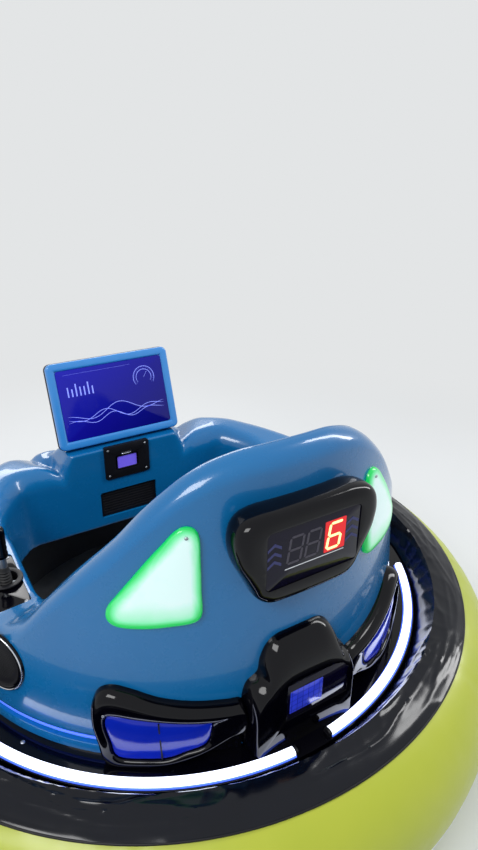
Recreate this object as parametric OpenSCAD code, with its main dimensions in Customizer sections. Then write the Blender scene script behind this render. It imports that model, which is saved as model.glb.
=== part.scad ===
/* [Bumper tube] */
// Outside diameter of the inflated bumper tube
tube_od = 1700; // [1600:10:1800]
// Width of the tube's section
tube_w = 334; // [320:2:340]
// Height of the tube's section
tube_h = 360; // [340:2:380]
// Clear height of the tube over the floor
tube_clear = 31; // [20:1:60]
// Outside radius of the black cover laid over the tube
cover_r = 755; // [710:5:790]
// Thickness of the cover's vinyl
cover_t = 3; // [2:0.5:5]

/* [Chassis] */
// Wall of the rolled steel rim inside the tube
rim_t = 5; // [3:0.5:8]
// Underside of the chassis frame over the floor
frame_clear = 84; // [70:1:90]
// Size of the square frame tubes
frame_tube = 40; // [30:5:50]
// Thickness of the floor plate
floor_t = 6; // [3:0.5:10]
// Half distance between the fore-and-aft frame tubes
rail_x = 150; // [120:5:170]
// Distance of the cross tubes from the middle
cross_y = 150; // [130:5:200]

/* [Deck ring] */
// Inner radius of the black deck ring
deck_ri = 500; // [480:5:505]
// Outer radius of the black deck ring
deck_ro = 640; // [630:1:645]
// Underside of the deck ring over the floor
deck_z = 324; // [300:1:330]
// Thickness of the deck ring
deck_t = 16; // [8:1:20]

/* [Body shell] */
// Radius of the body's skin at its foot
skin_r = 567; // [555:1:580]
// Inset of the skin at the backrest's foot
skin_in = 14; // [8:1:20]
// Inset of the skin at the backrest's top
skin_top_in = 34; // [24:1:38]
// Thickness of the backrest's wall
back_t = 50; // [40:1:60]
// Height of the backrest
back_top = 960; // [930:1:1000]
// Height of the armrests
arm_top = 540; // [530:1:560]
// Half width between the armrests
arm_x = 390; // [380:5:410]
// Height of the front cheeks
cheek_top = 576; // [570:1:610]
// Bulge of the front cheeks beyond the skin
cheek_out = 30; // [10:1:40]
// Distance of the console's face from the middle
dash_y = 307; // [295:1:320]
// Depth of the lit groove round the body's foot
groove_d = 9; // [4:1:12]
// Height of the lit groove
groove_h = 22; // [14:1:26]

/* [Screen] */
// Width of the screen's frame
screen_w = 370; // [330:2:400]
// Height of the screen's frame
screen_h = 251; // [220:1:270]
// Thickness of the screen's housing
screen_t = 32; // [20:1:45]
// Lean of the screen away from the rider
screen_lean = 17.9; // [10:0.1:25]
// Height of the screen's lower edge
screen_z = 610; // [608:1:640]
// Width of the screen's rim beside the glass
bezel = 24; // [14:1:34]

/* [Rear fittings] */
// Half width of the number housing
number_x = 150; // [142:1:160]
// Height of the number housing's widest line
number_z = 827; // [815:1:840]
// How far the number housing stands out of the skin
number_out = 50; // [35:1:60]
// How far the tail lamps stand out of the skin
tail_out = 28; // [18:1:35]
// Depth of the tail lenses inside their frames
lens_sink = 8; // [4:1:12]
// Half width of the rear pod
pod_x = 121; // [110:1:122]
// How far the rear pod stands out of the skin's foot
pod_out = 37; // [25:1:45]
// Thickness of the side lamps outside the skin
lamp_out = 9; // [4:1:15]
// Diameter of the loudspeakers
speaker_d = 130; // [100:2:136]
// Height of the light strips on the front cheeks
strip_h = 22; // [12:1:30]

/* [Lever] */
// Distance of the levers from the middle
lever_x = 438; // [430:1:450]
// Place of the levers behind the middle
lever_y = 71; // [40:1:100]
// Length of the lever above its pivot
lever_l = 150; // [120:5:180]
// Radius of the lever's pivot pin
lever_pin_r = 4; // [3:0.5:6]

/* [Wheels] */
// Radius of the driven wheels
wheel_r = 100; // [90:1:105]
// Width of the driven wheels
wheel_w = 50; // [40:1:55]
// Half distance between the driven wheels
wheel_x = 330; // [310:5:340]
// Radius of the driven wheels' axles
axle_r = 10; // [8:0.5:12]
// Radius of the caster wheels
caster_r = 37.5; // [30:0.5:40]
// Width of the caster wheels
caster_w = 28; // [20:1:32]
// Distance of the caster swivels from the middle
caster_y = 380; // [360:5:400]
// Trail of the caster wheels
caster_trail = 26; // [20:1:30]
// Radius of the caster's kingpin
king_r = 8; // [6:0.5:10]

/* [Seat] */
// Top of the seat shelf over the floor
shelf_z = 300; // [290:1:310]
// Thickness of the seat cushion
cushion_t = 80; // [50:5:100]
// Width of the seat cushion
cushion_w = 560; // [400:10:600]
// Thickness of the back cushion
pad_t = 60; // [40:5:80]
// Height of the back cushion's top
pad_top = 800; // [700:10:840]

/* [Hidden] */

fit = 0.3;          // gap between pieces that lie against each other
run = 0.05;         // gap round a turning pin
blue = "#1783BE";
black = "#14141C";
steel = "#8A8F96";

tube_rc = (tube_od - tube_w) / 2;
tube_zc = tube_clear + tube_h / 2;
tube_ri = tube_rc - tube_w / 2;
rim_ro = tube_ri - fit;
rim_ri = rim_ro - rim_t;
deck_top = deck_z + deck_t;
frame_top = frame_clear + frame_tube;
floor_top = frame_top + floor_t;

// Shape of the tube: an oval pressed flat where the deck ring lies on it
shoulder_slope = 1.6;
function oval_top(r) =
  let (u = (r - tube_rc) / (tube_w / 2)) tube_zc + tube_h / 2 * sqrt(max(0, 1 - u * u));
function tube_top(r) = min(oval_top(r), deck_z + max(0, r - deck_ro) * shoulder_slope);
function oval_point(a) =
  let (r = tube_rc + tube_w / 2 * cos(a), z = tube_zc + tube_h / 2 * sin(a))
  [r, sin(a) > 0 ? min(z, tube_top(r)) : z];
tube_step = 10;
tube_low = [for (a = [180 : tube_step : 360]) oval_point(a)];
tube_high = [for (a = [tube_step : tube_step : 180 - tube_step]) oval_point(a)];
edge_room = 2;      // outline points nearer to the deck's edge than this are left out
high_rows = concat(
  [for (p = tube_high) if (p[0] > deck_ro + edge_room) p],
  [[deck_ro, tube_top(deck_ro)]],
  [for (p = tube_high) if (p[0] < deck_ro - edge_room) p]
);
function tube_skin(r) = lookup(r, [for (i = [len(high_rows) - 1 : -1 : 0]) high_rows[i]]);

module ring(ri, ro, z0, z1) {
  translate([0, 0, z0])
    difference() {
      cylinder(r = ro, h = z1 - z0, $fn = 96);
      translate([0, 0, -1]) cylinder(r = ri, h = z1 - z0 + 2, $fn = 96);
    }
}

module bumper_tube() {
  color("#B4C232") rotate_extrude($fn = 96) polygon(concat(tube_low, high_rows));
}

// Cover: a ring of vinyl that lies on the tube from the deck's edge outwards
cover_rs = concat(
  [deck_ro + fit],
  [for (i = [len(high_rows) - 1 : -1 : 0])
    if (high_rows[i][0] > deck_ro + edge_room && high_rows[i][0] < cover_r - edge_room) high_rows[i][0]],
  [cover_r]
);
module tube_cover() {
  n = len(cover_rs) - 1;
  color(black) rotate_extrude($fn = 96)
    polygon(concat(
      [for (r = cover_rs) [r, tube_skin(r) + 2 * fit]],
      [for (i = [n : -1 : 0]) [cover_rs[i], tube_skin(cover_rs[i]) + 2 * fit + cover_t]]
    ));
}

// Chassis: a rolled rim, two rails and two cross tubes under a round floor plate
module chassis_frame() {
  color(black) {
    ring(rim_ri, rim_ro, frame_clear, deck_z);
    for (s = [-1, 1]) {
      rail_half = sqrt(pow(rim_ri + rim_t / 2, 2) - pow(rail_x + frame_tube / 2, 2));
      translate([s * rail_x - frame_tube / 2, -rail_half, frame_clear])
        cube([frame_tube, 2 * rail_half, frame_tube]);
      cross_half = sqrt(pow(rim_ri + rim_t / 2, 2) - pow(cross_y + frame_tube / 2, 2));
      translate([-cross_half, s * cross_y - frame_tube / 2, frame_clear])
        cube([2 * cross_half, frame_tube, frame_tube]);
    }
  }
}

well_gap = 12;      // room round the driven wheels
module floor_plate() {
  color(steel) difference() {
    translate([0, 0, frame_top]) cylinder(r = rim_ri - fit, h = floor_t, $fn = 96);
    for (s = [-1, 1])
      translate([s * wheel_x - wheel_w / 2 - well_gap, -wheel_r - well_gap, frame_top - 1])
        cube([wheel_w + 2 * well_gap, 2 * (wheel_r + well_gap), floor_t + 2]);
    for (x = [-60, 60], y = [-30, 30])
      translate([x, y - 215, frame_top - 1]) cylinder(r = 5.5, h = floor_t + 2, $fn = 32);
  }
}

battery = [340, 170, 140];
module battery_pack() {
  color("#303238") translate([-battery[0] / 2, 90, floor_top]) cube(battery);
}

// Driven wheel: gear motor under the floor, axle, hub and tyre, drawn at +X
motor = [110, 96];
motor_x = wheel_x - wheel_w / 2 - 8 - motor[0];
module motor_unit() {
  color(steel) {
    translate([motor_x, -motor[1] / 2, wheel_r - motor[1] / 2])
      cube([motor[0], motor[1], frame_top - wheel_r + motor[1] / 2]);
    translate([motor_x, 0, wheel_r]) rotate([0, 90, 0])
      cylinder(r = axle_r, h = motor[0] + 8 + wheel_w + 4, $fn = 32);
  }
}
tyre_t = 22;
module hub() {
  color("#D0D4DA") translate([wheel_x, 0, wheel_r]) rotate([0, 90, 0])
    difference() {
      union() {
        ring(wheel_r - tyre_t - 12, wheel_r - tyre_t, -wheel_w / 2 + 2, wheel_w / 2 - 2);
        translate([0, 0, -6]) cylinder(r = wheel_r - tyre_t - 6, h = 12, $fn = 64);
        translate([0, 0, -wheel_w / 2]) cylinder(r = 26, h = wheel_w, $fn = 48);
      }
      translate([0, 0, -wheel_w]) cylinder(r = axle_r + run, h = 2 * wheel_w, $fn = 32);
      for (a = [0 : 72 : 288]) rotate(a)
        translate([46, 0, -wheel_w]) cylinder(r = 11, h = 2 * wheel_w, $fn = 32);
    }
}
module tyre() {
  color("#202024") translate([wheel_x, 0, wheel_r]) rotate([0, 90, 0])
    rotate_extrude($fn = 64)
      polygon([
        [wheel_r - tyre_t, -wheel_w / 2], [wheel_r - 8, -wheel_w / 2], [wheel_r, -wheel_w / 2 + 8],
        [wheel_r, wheel_w / 2 - 8], [wheel_r - 8, wheel_w / 2], [wheel_r - tyre_t, wheel_w / 2]
      ]);
}

// Caster: plate bolted under the floor plate, swivelling fork and wheel, drawn at +Y
plate_t = 6;
fork_t = 5;
fork_gap = 6;
fork_top = frame_top - plate_t - 12;
module caster_base() {
  color(steel) translate([0, caster_y, 0]) difference() {
    union() {
      translate([-45, -45, frame_top - plate_t]) cube([90, 90, plate_t]);
      translate([0, 0, fork_top + fit]) cylinder(r = 26, h = frame_top - fork_top - plate_t - fit, $fn = 48);
    }
    translate([0, 0, fork_top - 1]) cylinder(r = king_r + run, h = 16, $fn = 32);
  }
}
fork_x = caster_w / 2 + fork_gap;
module caster_fork() {
  color("#C8CCD2") translate([0, caster_y, 0]) {
    translate([0, 0, fork_top - fork_t]) cylinder(r = 30, h = fork_t, $fn = 48);
    translate([0, 0, fork_top - fork_t]) cylinder(r = king_r, h = fork_t + 14, $fn = 32);
    for (s = [-1, 1]) translate([s * (fork_x + fork_t / 2) - fork_t / 2, 0, 0])
      rotate([90, 0, 90]) linear_extrude(fork_t)
        polygon([
          [-22, fork_top - 1], [22, fork_top - 1], [caster_trail + 10, caster_r - 8],
          [caster_trail + 6, caster_r - 12], [caster_trail - 6, caster_r - 12],
          [caster_trail - 10, caster_r - 8]
        ]);
    translate([-fork_x - fork_t, caster_trail, caster_r]) rotate([0, 90, 0])
      cylinder(r = 5, h = 2 * (fork_x + fork_t), $fn = 32);
  }
}
module caster_wheel() {
  color("#303034") translate([0, caster_y + caster_trail, caster_r]) rotate([0, 90, 0])
    difference() {
      rotate_extrude($fn = 64) polygon([
        [0, -caster_w / 2 - 4], [12, -caster_w / 2 - 4], [12, -caster_w / 2], [caster_r - 4, -caster_w / 2],
        [caster_r, -caster_w / 2 + 5], [caster_r, caster_w / 2 - 5], [caster_r - 4, caster_w / 2],
        [12, caster_w / 2], [12, caster_w / 2 + 4], [0, caster_w / 2 + 4]
      ]);
      translate([0, 0, -caster_w]) cylinder(r = 5 + run, h = 2 * caster_w, $fn = 32);
    }
}

module deck_ring() {
  color(black) ring(deck_ri, deck_ro, deck_z, deck_top);
}

// White light strips round the deck: start and end angle of each, from the rear
light_in = 15;      // their middle line inside the deck's edge
light_r = deck_ro - light_in;
light_w = 18;
light_h = 12;
strips = [[4, 62], [104, 150]];
module arc_bar(a0, a1, r, w, h) {
  rotate(90 - a1) rotate_extrude(angle = a1 - a0, $fn = 96)
    translate([r - w / 2, 0]) square([w, h]);
}
module ring_lights() {
  color("white") translate([0, 0, deck_top])
    for (s = strips, m = [0, 1]) mirror([m, 0, 0]) arc_bar(s[0], s[1], light_r, light_w, light_h);
}

// Body skin: radius by height, and the body's top edge by angle from the rear
groove_z = deck_top + 22;
lean_z = 440;       // the skin leans in from here
lean_top = 620;     // and leans less from here
skin_rows = [
  [deck_top, skin_r], [groove_z - 0.5, skin_r], [groove_z + 0.5, skin_r - groove_d],
  [groove_z + groove_h - 0.5, skin_r - groove_d], [groove_z + groove_h + 0.5, skin_r],
  [lean_z, skin_r], [lean_top, skin_r - skin_in], [back_top, skin_r - skin_top_in]
];
function skin(z) = lookup(z, skin_rows);
function smooth_skin(z) = z < lean_z ? skin_r : skin(z);    // the skin without its groove
// Top edge of the body: angle from the rear, height
edge_rows = [
  [0, back_top], [6, back_top - 1], [10, back_top - 3], [14, back_top - 10], [18, back_top - 22],
  [22, back_top - 42], [26, back_top - 70], [30, back_top - 103], [36, back_top - 162], [44, back_top - 232],
  [51, 660], [58, 590],
  [65, arm_top + 12], [72, arm_top], [98, arm_top], [106, arm_top + 2],
  [114, arm_top + 10], [126, cheek_top - 10], [136, cheek_top], [144, cheek_top - 4], [150, cheek_top - 26],
  [155, cheek_top - 58], [160, cheek_top - 80], [166, cheek_top - 84], [172, cheek_top - 76],
  [180, cheek_top - 72]
];
function off_rear(a) = abs(a) > 180 ? 360 - abs(a) : abs(a);
function edge(a) = lookup(off_rear(a), edge_rows);
bulge_rows = [[0, 0], [93, 0], [101, 0.6], [110, 1], [140, 1], [165, 0.6], [180, 0.5]];
function bulge(a, z) =
  cheek_out * lookup(off_rear(a), bulge_rows) * min(1, max(0, (z - groove_z - groove_h) / 70));
roll_rows = [[0, 40], [60, 36], [72, 22], [98, 24], [112, 55], [135, 85], [180, 70]];
inner_roll_rows = [[0, 12], [98, 12], [112, 40], [135, 60], [180, 50]];
back_ri = skin_r - skin_top_in - back_t;
open_r = 430;       // greatest radius of the opening in front of the backrest
function inner(a) = let (b = off_rear(a))
  b < 42 ? back_ri :
  b < 66 ? let (u = (b - 42) / 24) mix(back_ri, arm_x / sin(66), u * u * (3 - 2 * u)) :
  min(b < 150 ? arm_x / sin(b) : open_r, b > 100 ? dash_y / -cos(b) : open_r, open_r);

// One section of the body at angle a: up the skin, over the rolled edge, down the inside
roll_n = 6;
skin_foot = groove_z + groove_h + 0.5;
function side_rows(zr) = zr > lean_top + 20
  ? [skin_foot, lean_z, (lean_z + lean_top) / 2, lean_top, (lean_top + zr) / 2]
  : [skin_foot, for (i = [0 : 3]) lean_z + (zr - lean_z) * i / 4];
function body_section(a, foot, foot_in) =
  let (h = edge(a), rho = lookup(off_rear(a), roll_rows), ri = lookup(off_rear(a), inner_roll_rows),
    zr = max(h - rho, lean_z + 8), rv = h - zr, rr = skin(zr) + bulge(a, zr), r_in = inner(a),
    r_step = max(r_in + 4, foot))
  concat(
    [for (i = [0 : 3]) [skin_rows[i][1], skin_rows[i][0]]],
    [for (z = side_rows(zr)) [skin(z) + bulge(a, z), z]],
    [for (i = [0 : roll_n]) let (t = 90 * i / roll_n) [rr - rho * (1 - cos(t)), zr + rv * sin(t)]],
    [for (i = [0 : 3]) let (t = 90 * i / 3) [r_in + ri * (1 - sin(t)), h - ri * (1 - cos(t))]],
    [[r_in, foot_in], [foot_in < deck_top ? r_step : (r_in + r_step) / 2, foot_in], [r_step, deck_top]]
  );
function at(a, p) = [p[0] * sin(a), p[0] * cos(a), p[1]];

// Closed solid through a list of rings with equal numbers of points
module loft(rings) {
  n = len(rings[0]);
  k = len(rings);
  function mid(r) = [for (i = [0 : 2]) ([for (p = r) p[i]] * [for (p = r) 1]) / len(r)];
  polyhedron(
    points = concat([for (r = rings, p = r) p], [mid(rings[0]), mid(rings[k - 1])]),
    faces = concat(
      [for (j = [0 : k - 2], i = [0 : n - 1]) [j * n + i, (j + 1) * n + (i + 1) % n, j * n + (i + 1) % n]],
      [for (j = [0 : k - 2], i = [0 : n - 1]) [j * n + i, (j + 1) * n + i, (j + 1) * n + (i + 1) % n]],
      [for (i = [0 : n - 1]) [k * n, i, (i + 1) % n]],
      [for (i = [0 : n - 1]) [k * n + 1, (k - 1) * n + (i + 1) % n, (k - 1) * n + i]]
    )
  );
}
module body_sweep(a0, a1, steps, foot, foot_in) {
  loft([for (j = [0 : steps]) let (a = a0 + (a1 - a0) * j / steps)
    [for (p = body_section(a, foot, foot_in)) at(a, p)]]);
}

seam = 0.05;       // half angle of the seam between two body panels
back_a = 66;
pod_a = 104;
module backrest_shell() {
  color(blue) body_sweep(-back_a, back_a, 44, deck_ri + 1, deck_top);
}
tray_t = 6;         // the black tray let into each armrest
tray_edge = 16;     // blue rim left round the tray
tray_y = [-20, 176];
module tray_shape(gap) {
  offset(delta = gap) offset(r = 10, $fn = 32) offset(delta = -10) intersection() {
    circle(r = skin(arm_top) - 22 - tray_edge, $fn = 96);
    translate([arm_x + tray_edge, tray_y[0]]) square([skin_r - arm_x, tray_y[1] - tray_y[0]]);
  }
}
module side_pod() {
  color(blue) difference() {
    body_sweep(back_a + seam, pod_a - seam, 12, deck_ri, shelf_z + fit);
    translate([lever_x, lever_y, arm_top - cup_t - fit]) cylinder(r = base_r + fit, h = cup_t + 20, $fn = 48);
    translate([0, 0, arm_top - tray_t]) linear_extrude(20) tray_shape(fit);
  }
}
base_r = 34;
cup_t = 60;
pivot_z = arm_top - 14;

// Console: a tower on the cowl that carries the screen's housing
// Its rings, from the foot up: height, half width, half depth, corner radius
frame_low = screen_z - screen_t * sin(screen_lean);
tower_rows = [
  [430, 238, 110, 40], [470, 226, 106, 38], [505, 212, 95, 34], [545, 196, 80, 28], [575, 184, 62, 24],
  [frame_low - fit, 170, 46, 18]
];
// Shoulder on each flank of the console: height, half size and corner radius
shoulder_rows = [[430, 78, 40], [498, 68, 36], [524, 57, 32], [542, 42, 26], [552, 24, 14]];
shoulder_at = [190, -450];
// Back of the screen's housing: height above the screen's lower edge, half width, depth
housing_rows = [
  [-20, 150, 66], [40, 158, 82], [110, 160, 84], [170, 150, 66], [215, 132, 34], [232, 122, 14]
];
corners = [[1, 1, 0], [-1, 1, 90], [-1, -1, 180], [1, -1, 270]];
function pill(hx, yc, hy, z, r, xc = 0) = [for (c = corners, i = [0 : 4]) let (t = c[2] + 90 * i / 4)
  [xc + c[0] * (hx - r) + r * cos(t), yc + c[1] * (hy - r) + r * sin(t), z]];
module on_screen() {
  translate([0, screen_yc, screen_zc]) rotate([screen_lean, 0, 0]) children();
}
screen_zc = screen_z + screen_h / 2 * cos(screen_lean);
screen_yc = -326 - screen_h / 2 * sin(screen_lean);
pocket_d = 12;
pocket_w = 180;
pocket_z = [370, 457];
module front_cowl() {
  color(blue) difference() {
    union() {
      body_sweep(pod_a + seam, 360 - pod_a - seam, 52, deck_ri, deck_top);
      loft([for (r = tower_rows) pill(r[1], -dash_y - r[2], r[2], r[0], r[3])]);
      for (m = [-1, 1])
        loft([for (r = shoulder_rows) pill(r[1], shoulder_at[1], r[1], r[0], r[2], m * shoulder_at[0])]);
      on_screen() translate([0, -screen_t - fit, -screen_h / 2])
        loft([for (r = housing_rows) pill(r[1], -r[2] / 2, r[2] / 2, r[0], 12)]);
    }
    translate([-pocket_w / 2, -dash_y - pocket_d, pocket_z[0]])
      cube([pocket_w, 40, pocket_z[1] - pocket_z[0]]);
    head_lamp_cut(fit);
  }
}

// Headlamps: a three-cornered bezel let into each shoulder, its outline in Y and Z
head_outline = [[-424, 528], [-452, 540], [-490, 478], [-476, 462], [-428, 464]];
head_x = 258;
head_t = 14;
head_tilt = 20;
head_foot = 470;
module head_lamp_shape(gap, t) {
  translate([head_x, 0, head_foot]) rotate([0, -head_tilt, 0]) translate([-head_t, 0, -head_foot])
    rotate([90, 0, 90]) linear_extrude(t) offset(delta = gap) polygon(head_outline);
}
module head_lamp_cut(gap) {
  for (m = [0, 1]) mirror([m, 0, 0]) head_lamp_shape(gap, 4 * head_t);
}
module head_lamps() {
  color("#E8F8FF") for (m = [0, 1]) mirror([m, 0, 0]) translate([fit, 0, 0]) head_lamp_shape(0, head_t);
}

// Plate that follows the body's side: its angle and height at the ends of two edges, then its faces' offsets
function side_plate(a0, a1, z0, z1, out0, out1, n) = [for (j = [0 : n]) let (u = j / n)
  let (lo = [a0[0] + (a0[1] - a0[0]) * u, z0], hi = [a1[0] + (a1[1] - a1[0]) * u, z1])
  concat(
    [for (v = [0 : 0.25 : 1]) on_side(lo + (hi - lo) * v, out1)],
    [for (v = [1 : -0.25 : 0]) on_side(lo + (hi - lo) * v, out0)]
  )];
function on_side(q, out) = at(q[0], [skin(q[1]) + bulge(q[0], q[1]) + out, q[1]]);
strip_z = 452;
module cheek_strips() {
  color("#F4FFFF") for (m = [0, 1]) mirror([m, 0, 0])
    loft(side_plate([106, 142], [106, 142], strip_z, strip_z + strip_h, 2 * fit, 8, 16));
}

module plate_xz(w, h, r, y0, y1) {
  translate([0, y1, 0]) rotate([90, 0, 0]) linear_extrude(y1 - y0)
    hull() for (x = [-1, 1], z = [-1, 1])
      translate([x * (w / 2 - r), z * (h / 2 - r)]) circle(r = r, $fn = 32);
}
glass_t = 4;
module screen_frame() {
  color("#1E8FE0") on_screen() difference() {
    plate_xz(screen_w, screen_h, 18, -screen_t, 0);
    plate_xz(screen_w - 2 * bezel - 4, screen_h - 1.4 * bezel - 4, 8, -glass_t - 2, 1);
  }
}
module screen_glass() {
  color("#10107A") on_screen()
    plate_xz(screen_w - 2 * bezel - 5, screen_h - 1.4 * bezel - 5, 8, -glass_t - 2, -2);
}
dash_z = 551;       // middle of the switch panel on the console
module dash_panel() {
  color(black) translate([0, 0, dash_z]) plate_xz(140, 106, 6, -dash_y + fit, -dash_y + 5);
}
module pocket_panel() {
  back = -dash_y - pocket_d;
  color("#0A0A10") translate([0, 0, (pocket_z[0] + pocket_z[1]) / 2])
    plate_xz(pocket_w - 2, pocket_z[1] - pocket_z[0] - 2, 4, back + fit, back + 6);
}

// Space inside the skin, grown by a gap, that outside fittings are cut back to
module skin_fill(gap) {
  rotate_extrude($fn = 96) polygon([
    [0, deck_z], [skin_r + gap, deck_z], [skin_r + gap, lean_z],
    [skin(lean_top) + gap, lean_top], [skin(back_top) + gap, back_top], [0, back_top]
  ]);
}
module outline_y(points, y0, y1) {
  translate([0, y1, 0]) rotate([90, 0, 0]) linear_extrude(y1 - y0) polygon(points);
}
function mirrored(half) = concat(half, [for (i = [len(half) - 1 : -1 : 0]) [-half[i][0], half[i][1]]]);

// Rounded fitting that stands out of the skin: straight to y0, then rounding over from its root to its face
foot_in = 87;
foot_y = skin_r - foot_in;
function mix(a, b, s) = a * (1 - s) + b * s;
function boss(root, face, y0, y1, n) = concat(
  [[for (p = root) [p[0], foot_y, p[1]]]],
  [for (i = [0 : n]) let (t = 90 * i / n)
    [for (k = [0 : len(root) - 1]) let (p = mix(root[k], face[k], 1 - cos(t)))
      [p[0], y0 + (y1 - y0) * sin(t), p[1]]]]
);
boss_n = 5;

// Half of the number housing from its top: share of its half width, height over its widest line, and how far
// its face is drawn in there, in X and in Z
number_rows = [
  [0.38, 51, 10, 26], [0.67, 50, 18, 26], [0.86, 42, 28, 24], [0.96, 26, 34, 18], [1, 0, 36, 8],
  [0.98, -28, 35, 0], [0.94, -48, 34, -6], [0.86, -73, 32, -12], [0.78, -97, 30, -18], [0.71, -118, 26, -24],
  [0.58, -133, 20, -26], [0.34, -137, 10, -26]
];
number_mid = [for (r = number_rows) [number_x * r[0], number_z + r[1]]];
number_face = [for (r = number_rows) [number_x * r[0] - r[2], number_z + r[1] - r[3]]];
number_y = skin(number_z) + number_out;
number_edge = 28;   // depth of the rounding in front of the widest line
number_neck = 46;   // and behind it
// Ring of a pillow at angle t: -90 at its back, 0 at its widest line, 90 at its face
function pillow(wide, face, t) = [for (k = [0 : len(wide) - 1]) let (p = mix(wide[k], face[k], 1 - cos(t)))
  [p[0], number_y - number_edge + (t > 0 ? number_edge : number_neck) * sin(t), p[1]]];
pillow_turns = [-72, -48, -24, 0, 22, 45, 68, 90];
window_w = 200;
window_h = 118;
window_t = 6;
window_dz = -38;    // the window's middle over the housing's widest line
module number_housing() {
  color(black) difference() {
    loft([for (t = pillow_turns) pillow(mirrored(number_mid), mirrored(number_face), t)]);
    skin_fill(fit);
    translate([0, 0, number_z + window_dz])
      plate_xz(window_w, window_h, 10, number_y - window_t, number_y + 5);
  }
}
module number_window() {
  color("#3A0A10") translate([0, 0, number_z + window_dz])
    plate_xz(window_w - 1, window_h - 1, 10, number_y - window_t + fit, number_y - 1);
}

// Half of the rear pod from its top: height and inset from its half width at the skin, the same at its face
pod_rows = [
  [591, 98, 516, 96], [588, 72, 514, 78], [574, 52, 508, 62], [546, 38, 502, 46], [518, 32, 494, 34],
  [500, 10, 482, 22], [470, 0, 464, 12], [420, 0, 420, 9], [deck_top + 26, 0, deck_top + 30, 9],
  [deck_top + fit, 4, deck_top + 6, 12]
];
pod_root = [for (r = pod_rows) [pod_x - r[1], r[0]]];
pod_face = [for (r = pod_rows) [pod_x - r[3], r[2]]];
display_y = skin_r + pod_out;
display = [-98, 50, 410, 478];  // recess of the rear display: X and Z ranges
display_t = 4;
module rear_housing() {
  color(black) difference() {
    loft(boss(mirrored(pod_root), mirrored(pod_face), skin_r - 16, display_y, boss_n));
    skin_fill(fit);
    translate([display[0], display_y - display_t, display[2]])
      cube([display[1] - display[0], 2 * display_t, display[3] - display[2]]);
  }
}

// Tail lamp: outer edge on the skin, ridge of the frame and edge of the lens, each in X and Z
tail_rows = [
  [[pod_x + 1, 464], [pod_x + 3, 450], [180, 440]], [[151, 470], [152, 455], [200, 443]],
  [[212, 479], [213, 463], [230, 448]], [[268, 494], [270, 477], [270, 455]],
  [[309, 513], [308, 493], [306, 461]],
  [[340, 521], [334, 501], [332, 466]], [[358, 512], [349, 496], [345, 465]],
  [[369, 487], [358, 478], [350, 457]],
  [[371, 452], [361, 450], [351, 440]], [[365, 399], [356, 400], [345, 400]],
  [[353, deck_top + 4], [346, deck_top + 10], [336, 361]],
  [[305, deck_top + 2], [300, deck_top + 7], [296, 357]],
  [[262, deck_top + 4], [260, deck_top + 10], [254, 359]], [[215, 358], [216, 364], [224, 372]],
  [[180, 376], [182, 382], [196, 382]], [[146, 396], [148, 402], [186, 393]],
  [[pod_x + 1, 402], [pod_x + 4, 410], [181, 412]]
];
scoop_rows = [
  [pod_x + 1, 406], [146, 401], [182, 381], [217, 363], [264, deck_top + 9], [250, deck_top + fit],
  [pod_x + 1, deck_top + fit]
];
scoop_out = 6;
deep = -40;         // fittings start this far inside the skin, and are cut back to it
function on_skin(p, out) =
  let (a = asin(p[0] / skin_r), r = smooth_skin(p[1]) + out) [r * sin(a), r * cos(a), p[1]];
function middle(q) = [for (i = [0, 1]) ([for (p = q) p[i]] * [for (p = q) 1]) / len(q)];
function shrunk(q, s) = [for (p = q) mix(middle(q), p, s)];
function edge_of(k) = [for (r = tail_rows) r[k]];
function skin_ring(q, out) = [for (p = q) on_skin(p, out)];
cap_steps = [1, 0.75, 0.5, 0.25, 0.06];
module tail_frame() {
  lens = edge_of(2);
  floor_out = tail_out - lens_sink - 6;
  color(black) difference() {
    union() {
      loft(concat(
        [skin_ring(edge_of(0), deep)],
        [for (i = [0 : 4]) let (t = 90 * i / 4)
          skin_ring(mix_rows(0, 1, 1 - cos(t)), 2 + (tail_out - 2) * sin(t))],
        [skin_ring(mix_rows(1, 2, 0.5), tail_out), skin_ring(mix_rows(1, 2, 0.85), tail_out - 3)],
        [skin_ring(lens, tail_out - 7)],
        [for (c = cap_steps) skin_ring(shrunk(lens, c), floor_out)]
      ));
      loft([skin_ring(scoop_rows, deep), skin_ring(scoop_rows, scoop_out)]);
    }
    skin_fill(fit);
  }
}
function mix_rows(i, j, s) = [for (r = tail_rows) mix(r[i], r[j], s)];
module tail_lens() {
  floor_out = tail_out - lens_sink - 6 + 3 * fit;
  lens = shrunk(edge_of(2), 0.975);
  color("#2040D0") loft(concat(
    [for (i = [len(cap_steps) - 1 : -1 : 0]) skin_ring(shrunk(lens, cap_steps[i]), floor_out)],
    [for (c = cap_steps) skin_ring(shrunk(lens, c), tail_out - lens_sink + 3 * (1 - c))]
  ));
}

// Side lamp beside the number: its outline at the skin, in X and Z
lamp_rows = [
  [193, 834], [204, 846], [219, 847], [233, 838], [250, 818], [273, 790], [300, 752], [324, 716], [340, 688],
  [340, 665], [328, 653], [287, 649], [241, 652], [202, 657], [191, 668], [190, 720], [190, 780]
];
module side_lamp() {
  color("#D8FFF0") difference() {
    loft(concat(
      [skin_ring(lamp_rows, deep), skin_ring(lamp_rows, lamp_out * 0.4)],
      [for (c = [0.96, 0.9, 0.7, 0.45, 0.2, 0.06])
        skin_ring(shrunk(lamp_rows, c), lamp_out * (c > 0.95 ? 0.85 : 1))]
    ));
    skin_fill(fit);
  }
}

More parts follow.
